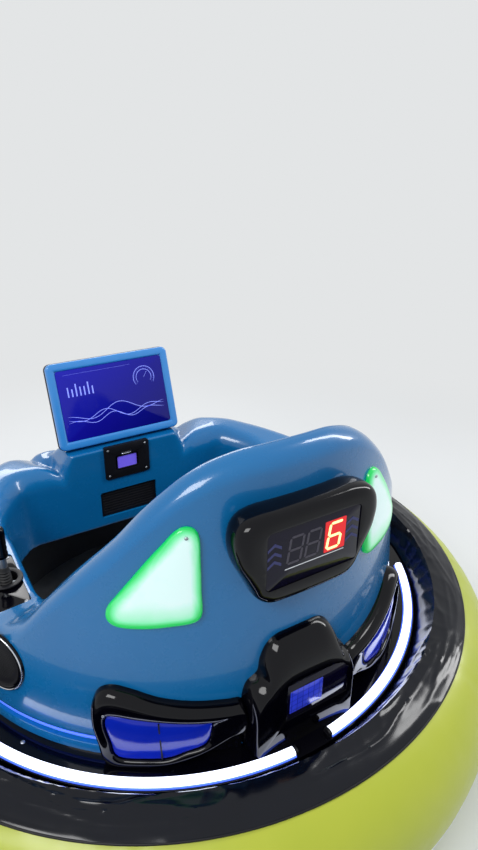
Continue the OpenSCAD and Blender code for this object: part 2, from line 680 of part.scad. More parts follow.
speaker_a = 62;     // angle of the loudspeakers from the rear
speaker_z = 503;
speaker_out = 7;
module speaker() {
  color("#26262C") rotate(-speaker_a) difference() {
    intersection() {
      translate([0, foot_y, speaker_z]) rotate([-90, 0, 0])
        cylinder(r = speaker_d / 2, h = foot_in + 33, $fn = 64);
      rotate_extrude($fn = 96) polygon([
        [0, deck_top], [skin_r + speaker_out, deck_top], [skin_r + speaker_out, lean_z],
        [skin(lean_top) + speaker_out, lean_top], [0, lean_top]
      ]);
    }
    skin_fill(fit);
  }
}
module side_vent() {
  color("#101014") loft(side_plate([83, 92], [75, 84], 402, 512, 2 * fit, 5, 5));
}

// Lever: tray and base cup in the armrest, and a lever on a cross pin
module lever_base() {
  color("#101014") difference() {
    union() {
      translate([0, 0, arm_top - tray_t + fit]) linear_extrude(tray_t - 2) tray_shape(0);
      translate([lever_x, lever_y, arm_top - cup_t]) cylinder(r = base_r, h = cup_t + 1, $fn = 48);
      translate([lever_x, lever_y, arm_top + fit]) cylinder(r = base_r + 4, h = 4, $fn = 48);
    }
    translate([lever_x, lever_y, arm_top - cup_t + 8]) cylinder(r = base_r - 8, h = cup_t + 40, $fn = 48);
    translate([lever_x - base_r - 1, lever_y, pivot_z]) rotate([0, 90, 0])
      cylinder(r = lever_pin_r + run, h = 2 * base_r + 2, $fn = 32);
  }
}
module lever() {
  color("#0C0C10") translate([lever_x, lever_y, pivot_z]) {
    rotate([0, 90, 0]) translate([0, 0, -base_r + 2]) cylinder(r = lever_pin_r, h = 2 * base_r - 4, $fn = 32);
    translate([0, 0, -10]) cylinder(r = 9, h = lever_l - 60, $fn = 32);
    translate([0, 0, lever_l - 75]) cylinder(r = 15, h = 75, $fn = 32);
  }
}

// Seat shelf: a top on a front board and two side boards, with a cover over each driven wheel
shelf_t = 12;
shelf_y = -30;
board_x = wheel_x - wheel_w / 2 - 20;
house_z = 2 * wheel_r + 14;
house_t = 6;
module seat_shelf() {
  color(black) intersection() {
    union() {
      translate([-500, shelf_y, shelf_z - shelf_t]) cube([1000, 600, shelf_t]);
      translate([-board_x, shelf_y, floor_top]) cube([2 * board_x, shelf_t, shelf_z - floor_top]);
      for (s = [-1, 1]) {
        translate([s * (board_x - shelf_t / 2) - shelf_t / 2, shelf_y, floor_top])
          cube([shelf_t, 450, shelf_z - floor_top]);
        translate([s * wheel_x, 0, 0]) difference() {
          house_x = wheel_w + 40;
          translate([-house_x / 2, -wheel_r - 30, floor_top])
            cube([house_x, wheel_r + 50, house_z - floor_top]);
          translate([-house_x / 2 + house_t, -wheel_r - 30 + house_t, floor_top - 1])
            cube([house_x - 2 * house_t, 2 * wheel_r + 60, house_z - floor_top + 1 - house_t]);
        }
      }
    }
    cylinder(r = rim_ri - fit, h = 400, $fn = 96);
  }
}
cushion_r = 40;
module seat_cushion() {
  color("#18181E") translate([0, 0, shelf_z + fit])
    linear_extrude(cushion_t) intersection() {
      hull() for (x = [-1, 1], y = [15, 340])
        translate([x * (cushion_w / 2 - cushion_r), y]) circle(r = cushion_r, $fn = 32);
      circle(r = deck_ri - 90, $fn = 96);
    }
}
pad_half = [[60, pad_top - 4], [200, pad_top - 60], [250, 620], [250, shelf_z + cushion_t]];
module back_cushion() {
  color("#18181E") intersection() {
    rotate_extrude($fn = 96) translate([back_ri - 2 * fit - pad_t, shelf_z + cushion_t + 2 * fit])
      square([pad_t, pad_top - shelf_z - cushion_t]);
    outline_y(mirrored(pad_half), 200, 600);
  }
}

bumper_tube();
tube_cover();
chassis_frame();
floor_plate();
battery_pack();
motor_unit();  // motor_left
mirror([1, 0, 0]) motor_unit();  // motor_right
hub();  // hub_left
mirror([1, 0, 0]) hub();  // hub_right
tyre();  // tyre_left
mirror([1, 0, 0]) tyre();  // tyre_right
mirror([0, 1, 0]) caster_base();  // caster_base_front
caster_base();  // caster_base_rear
mirror([0, 1, 0]) caster_fork();  // caster_fork_front
caster_fork();  // caster_fork_rear
mirror([0, 1, 0]) caster_wheel();  // caster_wheel_front
caster_wheel();  // caster_wheel_rear
deck_ring();
ring_lights();
backrest_shell();
side_pod();  // side_pod_left
mirror([1, 0, 0]) side_pod();  // side_pod_right
front_cowl();
screen_frame();
screen_glass();
dash_panel();
pocket_panel();
head_lamps();
cheek_strips();
number_housing();
number_window();
rear_housing();
tail_frame();  // tail_frame_left
mirror([1, 0, 0]) tail_frame();  // tail_frame_right
tail_lens();  // tail_lens_left
mirror([1, 0, 0]) tail_lens();  // tail_lens_right
side_lamp();  // side_lamp_left
mirror([1, 0, 0]) side_lamp();  // side_lamp_right
speaker();  // speaker_left
mirror([1, 0, 0]) speaker();  // speaker_right
side_vent();  // side_vent_left
mirror([1, 0, 0]) side_vent();  // side_vent_right
lever_base();  // lever_base_left
mirror([1, 0, 0]) lever_base();  // lever_base_right
lever();  // lever_left
mirror([1, 0, 0]) lever();  // lever_right
seat_shelf();
seat_cushion();
back_cushion();
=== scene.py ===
from math import asin, copysign, cos, degrees, exp, hypot, pi, radians, sin, sqrt

import bmesh
import bpy
import numpy as np
from mathutils import Matrix, Vector, noise
from mathutils.bvhtree import BVHTree

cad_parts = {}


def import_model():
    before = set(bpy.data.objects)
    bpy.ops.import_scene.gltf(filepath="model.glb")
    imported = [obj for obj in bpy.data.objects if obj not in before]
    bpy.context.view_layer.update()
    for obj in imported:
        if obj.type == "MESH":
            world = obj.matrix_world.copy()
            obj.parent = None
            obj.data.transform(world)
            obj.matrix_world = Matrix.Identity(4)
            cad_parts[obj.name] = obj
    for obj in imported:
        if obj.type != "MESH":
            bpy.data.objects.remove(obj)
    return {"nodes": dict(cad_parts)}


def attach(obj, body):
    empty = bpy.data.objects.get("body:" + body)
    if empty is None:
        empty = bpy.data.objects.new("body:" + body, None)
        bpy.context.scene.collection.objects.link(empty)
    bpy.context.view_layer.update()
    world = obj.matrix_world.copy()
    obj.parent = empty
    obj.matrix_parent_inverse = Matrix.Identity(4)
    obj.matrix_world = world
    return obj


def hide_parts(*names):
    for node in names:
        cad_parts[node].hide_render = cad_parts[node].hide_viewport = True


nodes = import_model()["nodes"]
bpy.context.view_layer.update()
scene = bpy.context.scene
mm = 0.001
sides = (("left", 1), ("right", -1))


# Small helpers: colours, nodes, meshes

def linear(hexCode):    # sRGB hex to linear light
    parts = [int(hexCode[i:i + 2], 16) / 255 for i in (1, 3, 5)]
    return [c / 12.92 if c <= 0.04045 else ((c + 0.055) / 1.055) ** 2.4 for c in parts] + [1.0]


def addNode(tree, kind, inputs=None, **settings):    # kind without the prefix that the tree's own nodes have
    node = tree.nodes.new(kind if kind.startswith("NodeGroup") else tree.bl_idname[:-4] + kind)
    for name, value in settings.items():
        setattr(node, name, value)
    for name, value in (inputs or {}).items():
        if isinstance(value, bpy.types.NodeSocket):
            tree.links.new(value, node.inputs[name])
        else:
            node.inputs[name].default_value = value
    return node


def newMaterial(name):    # with its node tree and the place on the object that its patterns follow
    material = bpy.data.materials.new(name)
    material.use_nodes = True
    tree = material.node_tree
    tree.nodes.clear()
    return material, tree, addNode(tree, "TexCoord").outputs["Object"]


def surfaceShader(tree, inputs):
    shader = addNode(tree, "BsdfPrincipled", inputs)
    addNode(tree, "OutputMaterial", {"Surface": shader.outputs["BSDF"]})
    return shader


def blended(tree, share, first, second):    # two hex colours mixed by a socket
    return addNode(tree, "Mix", {0: share, 6: linear(first), 7: linear(second)}, data_type="RGBA").outputs[2]


def counted(tree, operation, *values):    # arithmetic on sockets and numbers
    return addNode(tree, "Math", dict(enumerate(values)), operation=operation).outputs[0]


def placed(name, data):
    thing = bpy.data.objects.new(name, data)
    scene.collection.objects.link(thing)
    return thing


def meshObject(name, points, faces):    # points in mm
    mesh = bpy.data.meshes.new(name)
    mesh.from_pydata([[c * mm for c in p] for p in points], [], faces)
    mesh.validate()
    return placed(name, mesh)


mergeReach = 0.01


def cleanMesh(thing):    # doubles merged, then faces turned outwards
    work = bmesh.new()
    work.from_mesh(thing.data)
    bmesh.ops.remove_doubles(work, verts=work.verts, dist=mergeReach * mm)
    bmesh.ops.recalc_face_normals(work, faces=work.faces)
    work.to_mesh(thing.data)
    work.free()
    return thing


def shadeSmooth(thing, sharpDegrees=None):
    thing.data.polygons.foreach_set("use_smooth", [True] * len(thing.data.polygons))
    if sharpDegrees:
        work = bmesh.new()
        work.from_mesh(thing.data)
        for e in work.edges:
            e.smooth = len(e.link_faces) != 2 or e.calc_face_angle(0) < radians(sharpDegrees)
        work.to_mesh(thing.data)
        work.free()
    thing.data.update()
    return thing


def meshNow(thing):    # the object's mesh as its modifiers or bevel make it
    bpy.context.view_layer.update()
    return bpy.data.meshes.new_from_object(thing.evaluated_get(bpy.context.evaluated_depsgraph_get()))


def evaluated(thing):    # modifiers taken into the mesh
    mesh = meshNow(thing)
    thing.modifiers.clear()
    thing.data = mesh
    return thing


def addModifier(thing, kind, **settings):
    modifier = thing.modifiers.new(kind.lower(), kind)
    for name, value in settings.items():
        setattr(modifier, name, value)
    return modifier


def joined(name, things):
    work = bmesh.new()
    for thing in things:
        work.from_mesh(thing.data)
    mesh = bpy.data.meshes.new(name)
    work.to_mesh(mesh)
    work.free()
    for thing in things:
        bpy.data.objects.remove(thing)
    return placed(name, mesh)


def cutAway(thing, *cutters):
    for cutter in cutters:
        addModifier(thing, "BOOLEAN", operation="DIFFERENCE", solver="EXACT", object=cutter)
    evaluated(thing)
    for cutter in cutters:
        bpy.data.objects.remove(cutter)
    return thing


def ringFaces(count, n):    # the quads between rings of n points
    return [[j * n + i, j * n + (i + 1) % n, (j + 1) * n + (i + 1) % n, (j + 1) * n + i]
            for j in range(count) for i in range(n)]


def loft(name, rings, capStart=True, capEnd=True):
    n = len(rings[0])
    points = [p for ring in rings for p in ring]
    faces = ringFaces(len(rings) - 1, n)
    for wanted, j in ((capStart, 0), (capEnd, len(rings) - 1)):
        if wanted:
            points.append([sum(p[k] for p in rings[j]) / n for k in range(3)])
            faces += [[j * n + i, j * n + (i + 1) % n, len(points) - 1] for i in range(n)]
    return shadeSmooth(cleanMesh(meshObject(name, points, faces)), 40)


def turned(a, r, z):    # a point by its angle from the rear, radius and height
    t = radians(a)
    return [r * sin(t), r * cos(t), z]


def fullTurn(steps):    # angles round a full turn
    return [2 * pi * i / steps for i in range(steps)]


def evenly(start, end, steps):    # values from start to end, both counted
    return [start + (end - start) * i / steps for i in range(steps + 1)]


def sweepTo(end, steps):
    return evenly(0, end, steps)


def roundel(radius, z, steps, x=0, y=0):    # level ring of points
    return [[x + radius * cos(t), y + radius * sin(t), z] for t in fullTurn(steps)]


def rounded(halfU, halfV, radius, corner=8):    # rectangle about the middle with rounded corners
    u, v = halfU - radius, halfV - radius
    return [(su * u + radius * cos(t), sv * v + radius * sin(t))
            for su, sv, turn in ((1, 1, 0), (-1, 1, 90), (-1, -1, 180), (1, -1, 270))
            for t in [radians(turn + 90 * i / corner) for i in range(corner + 1)]]


def revolve(name, outline, steps=192, start=0.0, end=360.0):    # outline in radius and height, about Z
    whole = abs(end - start) >= 360
    rings = [[turned(a, r, z) for r, z in outline] for a in evenly(start, end, steps)]
    if whole:
        rings[-1] = rings[0]
    return loft(name, rings, not whole, not whole)


def moved(thing, x, y, z, turn=Matrix()):    # the mesh turned about the origin, then moved by mm
    thing.data.transform(Matrix.Translation(Vector((x, y, z)) * mm) @ turn.to_4x4())
    return thing


def paint(thing, material):
    thing.data.materials.clear()
    thing.data.materials.append(material)
    return thing


def settle(thing, material, replaced=(), body="root"):    # last step of each piece
    if material:
        paint(thing, material)
    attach(thing, body)
    if replaced:
        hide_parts(*replaced)
    return thing


def flipped(thing, name):    # the piece's twin on the other side
    twin = placed(name, thing.data.copy())
    twin.data.transform(Matrix.Diagonal((-1, 1, 1, 1)))
    twin.data.flip_normals()
    twin.data.update()
    return twin


def curveThrough(rows, flatEnds=True):    # smooth curve that never overshoots its rows
    xs, ys = np.array(rows, float).T
    wide = np.diff(xs)
    slope = np.diff(ys) / wide
    lean = np.zeros(len(xs))
    if not flatEnds:
        lean[0], lean[-1] = slope[0], slope[-1]
    for i in range(1, len(xs) - 1):
        if slope[i - 1] * slope[i] > 0:
            w0, w1 = 2 * wide[i] + wide[i - 1], wide[i] + 2 * wide[i - 1]
            lean[i] = (w0 + w1) / (w0 / slope[i - 1] + w1 / slope[i])

    def at(x):
        x = min(max(x, xs[0]), xs[-1])
        i = min(max(int(np.searchsorted(xs, x)) - 1, 0), len(wide) - 1)
        t = (x - xs[i]) / wide[i]
        return ((1 + 2 * t) * (1 - t) ** 2 * ys[i] + t * (1 - t) ** 2 * wide[i] * lean[i]
                + t * t * (3 - 2 * t) * ys[i + 1] + t * t * (t - 1) * wide[i] * lean[i + 1])
    return at


def smoothClosed(points, share=4):    # closed outline, each span cut in shares along a rounded curve
    points = [np.array(p, float) for p in points]
    result = []
    for i in range(len(points)):
        near = [points[(i + k) % len(points)] for k in (-1, 0, 1, 2)]
        knots = [0.0]
        for a, b in zip(near, near[1:]):
            knots.append(knots[-1] + max(np.linalg.norm(b - a), 1e-6) ** 0.5)
        for t in evenly(knots[1], knots[2], share)[:-1]:
            level = near
            for spans in (((0, 1), (1, 2), (2, 3)), ((0, 2), (1, 3)), ((1, 2),)):
                level = [mix(a, b, (t - knots[m]) / (knots[n] - knots[m]))
                         for a, b, (m, n) in zip(level, level[1:], spans)]
            result.append(level[0])
    return result


def mirroredHalf(half):
    return [list(p) for p in half] + [[-p[0], p[1]] for p in reversed(half)]


def within(value, low, high):
    return max(low, min(high, value))


def mix(a, b, t):
    return np.asarray(a, float) * (1 - t) + np.asarray(b, float) * t


def shrunk(outline, share):
    middle = np.mean(outline, axis=0)
    return [mix(middle, p, share) for p in outline]


def roundedBox(name, low, high, radius, axis=1, corner=6):    # outline rounded in the plane across the axis
    u, v = [k for k in range(3) if k != axis]
    outline = rounded((high[u] - low[u]) / 2, (high[v] - low[v]) / 2, radius, corner)
    middle = [(a + b) / 2 for a, b in zip(low, high)]
    rings = [[[0, 0, 0] for p in outline] for end in range(2)]
    for end, ring in zip((low[axis], high[axis]), rings):
        for p, (a, b) in zip(ring, outline):
            p[u], p[v], p[axis] = middle[u] + a, middle[v] + b, end
    return loft(name, rings)


def softened(thing, width, angle=35):    # bevelled edges
    addModifier(thing, "BEVEL", width=width * mm, segments=2, limit_method="ANGLE",
                angle_limit=radians(angle))
    return shadeSmooth(evaluated(thing), 60)


print("helpers ready")


# Finishes: each starts from what the real material is

def makeFinish(name, **look):    # sizes of mottle, scuffs and grain in mm
    look = {"tint": look["base"], "mottle": 120, "scuff": 35, "spread": 0.08, "metal": 0.0, "coat": 0.0,
            "coatRough": 0.05, "sheen": 0.0, "strength": 1.0, **look}
    material, tree, place = newMaterial(name)
    drawn = place
    if "stretch" in look:    # brushed or drawn one way
        stretched = {"Vector": place, "Scale": look["stretch"]}
        drawn = addNode(tree, "Mapping", stretched).outputs[0]

    def cloud(size, detail, roughness=0.5):
        given = {"Vector": drawn, "Scale": 1 / (size * mm), "Detail": detail, "Roughness": roughness}
        return addNode(tree, "TexNoise", given).outputs["Fac"]

    tone = blended(tree, cloud(look["mottle"], 4.0, 0.6), look["base"], look["tint"])
    rough = addNode(tree, "MapRange",
                    {"Value": cloud(look["scuff"], 6.0, 0.7), "From Min": 0.3, "From Max": 0.72,
                     "To Min": look["rough"], "To Max": look["rough"] + look["spread"]})
    shader = surfaceShader(tree, {
        "Base Color": tone, "Roughness": rough.outputs["Result"], "Metallic": look["metal"],
        "Coat Weight": look["coat"], "Coat Roughness": look["coatRough"], "Sheen Weight": look["sheen"]})
    if "ior" in look:
        shader.inputs["IOR"].default_value = look["ior"]
    if "glow" in look:
        shader.inputs["Emission Color"].default_value = linear(look["glow"])
        shader.inputs["Emission Strength"].default_value = look["strength"]
    if "grain" in look:
        size, depth = look["grain"]
        if look.get("leather"):
            grain = addNode(tree, "TexVoronoi", {"Vector": place, "Scale": 1 / (size * mm)},
                            feature="DISTANCE_TO_EDGE").outputs["Distance"]
        else:
            grain = cloud(size, 2.0)
        relief = {"Height": grain, "Strength": 1.0, "Distance": depth * mm}
        bump = addNode(tree, "Bump", relief)
        tree.links.new(bump.outputs["Normal"], shader.inputs["Normal"])
    return material


gelcoatBlue = makeFinish("gelcoatBlue",    # polyester gelcoat on glass fibre: deep gloss, slight ripple
    base="#0766A4", tint="#0B74B2", mottle=260, rough=0.22, spread=0.1, scuff=90, ior=1.38, coat=0.7,
    coatRough=0.04, grain=(9, 0.02))
frameBlue = makeFinish("frameBlue",    # moulded ABS, painted: satin gloss
    base="#3C97E6", tint="#3089D8", mottle=90, rough=0.28, coat=0.6, coatRough=0.12, grain=(2.2, 0.015))
blackGloss = makeFinish("blackGloss",    # moulded black ABS, polished: mirror black with handling haze
    base="#020207", tint="#05050C", mottle=70, rough=0.04, spread=0.07, scuff=30, ior=1.33,
    grain=(9, 0.012))
blackSatin = makeFinish("blackSatin",    # black ABS as it comes from a grained mould
    base="#0B0B10", tint="#111117", mottle=60, rough=0.42, ior=1.36, grain=(1.4, 0.04))
darkVinyl = makeFinish("darkVinyl",    # coated vinyl sheet: wet-looking gloss over fine grain
    base="#03050D", tint="#060A18", mottle=110, rough=0.12, spread=0.08, scuff=70, ior=1.38,
    grain=(70, 0.05))
limePvc = makeFinish("limePvc",    # welded PVC tarpaulin under pressure: soft gloss, faint fabric in it
    base="#A9B830", tint="#C2C83C", mottle=330, rough=0.36, spread=0.16, scuff=60, coat=0.25,
    coatRough=0.2, grain=(4.5, 0.06))
seatVinyl = makeFinish("seatVinyl",    # upholstery vinyl: leather grain about 2 mm across
    base="#15151B", tint="#1E1E26", mottle=140, rough=0.46, sheen=0.1, grain=(2.4, 0.25), leather=True)
chrome = makeFinish("chrome",    # chromed ABS trim
    base="#D8DBE0", rough=0.08, spread=0.08, metal=1.0, mottle=40)
zincSteel = makeFinish("zincSteel",    # zinc-plated steel: bluish white, faintly brushed
    base="#A8ADB4", tint="#B9BDC2", rough=0.32, spread=0.18, metal=1.0, mottle=30, stretch=(1, 1, 14),
    scuff=6)
castAlloy = makeFinish("castAlloy",    # turned cast aluminium
    base="#B4B7BB", tint="#C6C8CB", rough=0.36, spread=0.15, metal=1.0, mottle=25, grain=(1.6, 0.05))
powderBlack = makeFinish("powderBlack",    # powder-coated steel: fine orange peel
    base="#15161A", tint="#1D1E23", mottle=80, rough=0.5, spread=0.12, grain=(1.8, 0.06))
treadPlate = makeFinish("treadPlate",    # galvanised sheet: large pale spangle
    base="#80858B", tint="#989CA1", mottle=28, rough=0.4, spread=0.2, metal=0.9)
motorGrey = makeFinish("motorGrey",    # painted cast iron
    base="#3A3C40", tint="#46484D", mottle=50, rough=0.55, grain=(2.0, 0.12))
tyreRubber = makeFinish("tyreRubber",    # solid rubber tyre, dusty from the floor
    base="#1B1B1D", tint="#2A2926", mottle=35, rough=0.72, spread=0.15, grain=(1.5, 0.08))
casterRubber = makeFinish("casterRubber",    # moulded polyurethane tread
    base="#26262A", tint="#323236", mottle=22, rough=0.5, grain=(1.2, 0.04))
batteryCase = makeFinish("batteryCase",    # polypropylene case with a matt spark-eroded face
    base="#24262B", tint="#2C2E34", mottle=40, rough=0.6, grain=(1.0, 0.05))
lensBlue = makeFinish("lensBlue",    # tinted acrylic, lit from behind
    base="#0A1F96", tint="#0E2AB4", mottle=60, rough=0.08, spread=0.05, ior=1.4, glow="#0A1FA8",
    strength=0.2)
smokedPlate = makeFinish("smokedPlate",    # smoked acrylic over the digits
    base="#07051A", tint="#0B0824", mottle=90, rough=0.06, spread=0.05, ior=1.36)
stripGlow = makeFinish("stripGlow",    # milky silicone strip with white diodes in it
    base="#EEF2FF", rough=0.35, glow="#E4EAFF", strength=2.6)
digitGlow = makeFinish("digitGlow",    # lit segments: warm white over red
    base="#FFE9A8", rough=0.3, glow="#FFE08A", strength=1.5)
digitRed = makeFinish("digitRed",    # the lit digit's field
    base="#7A0408", tint="#8E060A", mottle=12, rough=0.3, glow="#E00814", strength=0.85)
digitOff = makeFinish("digitOff",    # unlit segments behind smoked acrylic
    base="#35313F", tint="#3C3848", rough=0.3)
markOff = makeFinish("markOff", base="#20255E", tint="#262C6C", rough=0.3)    # printed marks, dim
violetGlow = makeFinish("violetGlow",    # edge-lit acrylic
    base="#5F50C8", tint="#7A68E0", mottle=14, rough=0.3, glow="#6A58E0", strength=0.45)
sillGlow = makeFinish("sillGlow",    # light line in the groove round the foot
    base="#5A7BFF", rough=0.4, glow="#3C62F0", strength=0.9)
pipingBlue = makeFinish("pipingBlue", base="#2B57C8", rough=0.4, coat=0.3)    # extruded PVC bead
pipingWhite = makeFinish("pipingWhite", base="#E6E9EE", rough=0.4, coat=0.3)


def lampFinish():    # opal acrylic: milk white, green where the edge light enters
    material, tree, place = newMaterial("lampMilk")
    depth = addNode(tree, "Attribute", attribute_name="edgeLight").outputs["Fac"]
    cloud = addNode(tree, "TexNoise", {"Vector": place, "Scale": 22.0, "Detail": 3.0})
    uneven = counted(tree, "MULTIPLY_ADD", cloud.outputs["Fac"], 0.22, depth)
    ramp = addNode(tree, "ValToRGB", {"Fac": uneven})
    steps = ramp.color_ramp.elements
    steps[0].position, steps[0].color = 0.12, linear("#D0EAE8")
    steps[1].position, steps[1].color = 1.0, linear("#12C85A")
    steps.new(0.62).color = linear("#74E2A4")
    surfaceShader(tree, {"Base Color": ramp.outputs["Color"], "Roughness": 0.3, "Coat Weight": 0.5,
                         "Emission Color": ramp.outputs["Color"], "Emission Strength": 0.36})
    return material


lampMilk = lampFinish()

for finish, names in (
        (powderBlack, ("chassis_frame", "seat_shelf")), (treadPlate, ("floor_plate",)),
        (castAlloy, ("hub_left", "hub_right")), (casterRubber, ("caster_wheel_front", "caster_wheel_rear")),
        (zincSteel, ("caster_base_front", "caster_base_rear", "caster_fork_front", "caster_fork_rear")),
        (blackGloss, ("deck_ring",))):
    for nodeName in names:
        paint(nodes[nodeName], finish)
print("finishes ready")


# The body's skin, as the CAD part's sections but smooth between its rows (mm and degrees from the rear)
shell = {
    "deckTop": 340, "skinRadius": 567, "groove": (362, 384, 9),
    "skinRows": [(384, 567), (440, 566.4), (530, 560.3), (620, 553.2), (790, 543), (960, 533)],
    "edgeRows": [(0, 960), (6, 959), (10, 957), (14, 950), (18, 938), (22, 918), (26, 890), (30, 857),
                 (36, 798), (44, 728), (51, 660), (58, 590), (65, 552), (72, 540), (98, 540), (106, 542),
                 (114, 550), (126, 566), (136, 576), (144, 572), (150, 550), (155, 518), (160, 496),
                 (166, 492), (172, 500), (180, 504)],
    "bulgeRows": [(0, 0), (93, 0), (101, 0.6), (110, 1), (140, 1), (165, 0.6), (180, 0.5)], "bulge": 30,
    "rollRows": [(0, 40), (60, 36), (72, 22), (98, 24), (112, 55), (135, 85), (180, 70)],
    "innerRollRows": [(0, 16), (98, 16), (112, 40), (135, 60), (180, 50)],
    "backInner": 483, "openRadius": 430, "armX": 390, "armBlend": (42, 66), "dashY": 307, "foot": 501,
    "lowestRoll": 448, "rise": 70,
}
skinCurve = curveThrough(shell["skinRows"], False)
edgeCurve, bulgeCurve, rollCurve, innerRollCurve = (
    curveThrough(shell[rows]) for rows in ("edgeRows", "bulgeRows", "rollRows", "innerRollRows"))


def skinAt(z):
    return float(skinCurve(z)) if z > shell["groove"][1] else shell["skinRadius"]


def softMin(a, b, room=26):
    h = max(room - abs(a - b), 0) / room
    return min(a, b) - h * h * room / 4


def offRear(a):
    a = abs(a) % 360
    return 360 - a if a > 180 else a


def eased(share):
    return share * share * (3 - 2 * share)


def innerAt(a):
    b = offRear(a)
    start, end = shell["armBlend"]
    if b < end:
        armInner = shell["armX"] / sin(radians(end))
        share = eased(within((b - start) / (end - start), 0, 1))
        return shell["backInner"] + (armInner - shell["backInner"]) * share
    side = shell["armX"] / max(sin(radians(b)), 0.05)
    front = shell["dashY"] / max(-cos(radians(b)), 0.05)
    return softMin(softMin(side, front), shell["openRadius"])


def bulgeAt(a, z):
    rise = within((z - shell["groove"][1]) / shell["rise"], 0, 1)
    return shell["bulge"] * float(bulgeCurve(offRear(a))) * eased(rise)


def bodySection(a, footIn):
    top, roll, innerRoll = (float(curve(offRear(a))) for curve in (edgeCurve, rollCurve, innerRollCurve))
    low, high, deep = shell["groove"]
    zRoll = max(top - roll, shell["lowestRoll"])
    r, rIn = shell["skinRadius"], innerAt(a)
    points = [(r, shell["deckTop"]), (r, low - 2), (r - 1, low), (r - deep + 1, low + 1),
              (r - deep, low + 4), (r - deep, high - 4), (r - deep + 1, high - 1), (r - 1, high),
              (r, high + 2)]
    points += [(skinAt(z) + bulgeAt(a, z), z) for z in evenly(high + 8, zRoll, 12)[:-1]]
    rRoll = skinAt(zRoll) + bulgeAt(a, zRoll)
    points += [(rRoll - roll * (1 - cos(t)), zRoll + (top - zRoll) * sin(t))
               for t in sweepTo(pi / 2, 12)]
    points += [(rIn + innerRoll * (1 - sin(t)), top - innerRoll * (1 - cos(t)))
               for t in sweepTo(pi / 2, 8)]
    points += [(rIn, z) for z in evenly(top - innerRoll, footIn, 6)[1:]]
    step = max(rIn + 4, shell["foot"])
    return points + [((rIn + step) / 2, footIn), (step, shell["deckTop"])]


def sweepBody(name, start, end, step, footIn):
    count = round((end - start) / step)
    rings = [[turned(a, r, z) for r, z in bodySection(a, footIn)] for a in evenly(start, end, count)]
    n = len(rings[0])
    faces = ringFaces(count, n) + [list(range(n)), list(range(count * n, (count + 1) * n))]
    return cleanMesh(meshObject(name, [p for ring in rings for p in ring], faces))


def onSkin(p, out):    # a point given in X and Z laid on the skin
    a = degrees(asin(p[0] / shell["skinRadius"]))
    return turned(a, skinLine(p[1]) + out, p[1])


def skinLine(z):    # the CAD part's skin, straight between its rows
    return float(np.interp(z, [440, 620, 960], [567, 553, 533]))


# Backrest and armrests: one moulded wall, with the trays let into the arms
pods = {"trayX": 406, "trayY": (-20, 176), "trayRadius": 522, "trayDeep": 6, "lever": (438, 71), "cup": 34.3,
        "cupDeep": 60, "armTop": 540}


def trayOutline(gap, rounding=10):
    x0, (y0, y1), r = pods["trayX"] - gap, pods["trayY"], pods["trayRadius"] + gap
    y0, y1 = y0 - gap, y1 + gap
    arc = [(sqrt(r * r - y * y), y) for y in evenly(y0, y1, 12)]
    corners = [(x0, y0)] + arc + [(x0, y1)]
    result = []
    for i, p in enumerate(corners):    # sharp corners cut to a small arc
        p, before, after = np.array(p), np.array(corners[i - 1]), np.array(corners[(i + 1) % len(corners)])
        u, v = (before - p) / np.linalg.norm(before - p), (after - p) / np.linalg.norm(after - p)
        if u @ v > -0.9:
            for t in (0, 0.25, 0.5, 0.75, 1):
                a, b = p + u * rounding, p + v * rounding
                result.append((1 - t) ** 2 * a + 2 * t * (1 - t) * p + t * t * b)
        else:
            result.append(p)
    return result


def prism(name, outline, z0, z1, side=1):
    return loft(name, [[[side * p[0], p[1], z] for p in outline] for z in (z0, z1)])


backrest = sweepBody("bodyRear", -103.95, 103.95, 0.9, 340)
cutters = []
for hand, s in sides:
    top = pods["armTop"]
    cutters.append(prism("trayCut", trayOutline(0.3), top - pods["trayDeep"], top + 30, s))
    cutters.append(prism("cupCut", roundel(pods["cup"], 0, 48, s * pods["lever"][0], pods["lever"][1]),
                         top - pods["cupDeep"] - 0.3, top + 30))
cutAway(backrest, *cutters)
shadeSmooth(backrest, 50)
settle(backrest, gelcoatBlue, ("backrest_shell", "side_pod_left", "side_pod_right"))
print("backrest and arms", len(backrest.data.polygons))


# Front cowl: lobes, the console's tower and shoulders, and the screen's back, melted into one moulding
console = {
    "screenZ": 610, "lean": 17.9, "screenW": 370, "screenH": 251, "screenT": 32, "screenFrontY": -326,
    "towerRows": [(430, 238, 110, 40), (470, 226, 106, 38), (505, 212, 95, 34), (545, 196, 80, 28),
                  (575, 184, 62, 24), (599.8, 170, 46, 18)],
    "shoulderRows": [(430, 78, 40), (498, 68, 36), (524, 57, 32), (542, 42, 26), (552, 24, 14)],
    "shoulderAt": (190, -450),
    "housingRows": [(-20, 150, 66), (40, 158, 82), (110, 160, 84), (170, 150, 66), (215, 132, 34),
                    (232, 122, 14)],
    "pocketW": 180, "pocketZ": (370, 457), "pocketDeep": 12,
    "headOutline": [(-424, 528), (-452, 540), (-490, 478), (-476, 462), (-428, 464)],
    "headX": 258, "headT": 14, "headTilt": 20, "headFoot": 470,
    "voxel": 4.6, "smoothing": 7,
}
screenAngle = radians(console["lean"])
screenMiddle = (console["screenFrontY"] - console["screenH"] / 2 * sin(screenAngle),
                console["screenZ"] + console["screenH"] / 2 * cos(screenAngle))


def onScreen(p):    # from the screen's own place to the car's
    x, y, z = p
    return [x, screenMiddle[0] + y * cos(screenAngle) - z * sin(screenAngle),
            screenMiddle[1] + y * sin(screenAngle) + z * cos(screenAngle)]


def pill(halfX, midY, halfY, z, radius, midX=0):
    return [[midX + x, midY + y, z] for x, y in rounded(halfX, halfY, radius)]


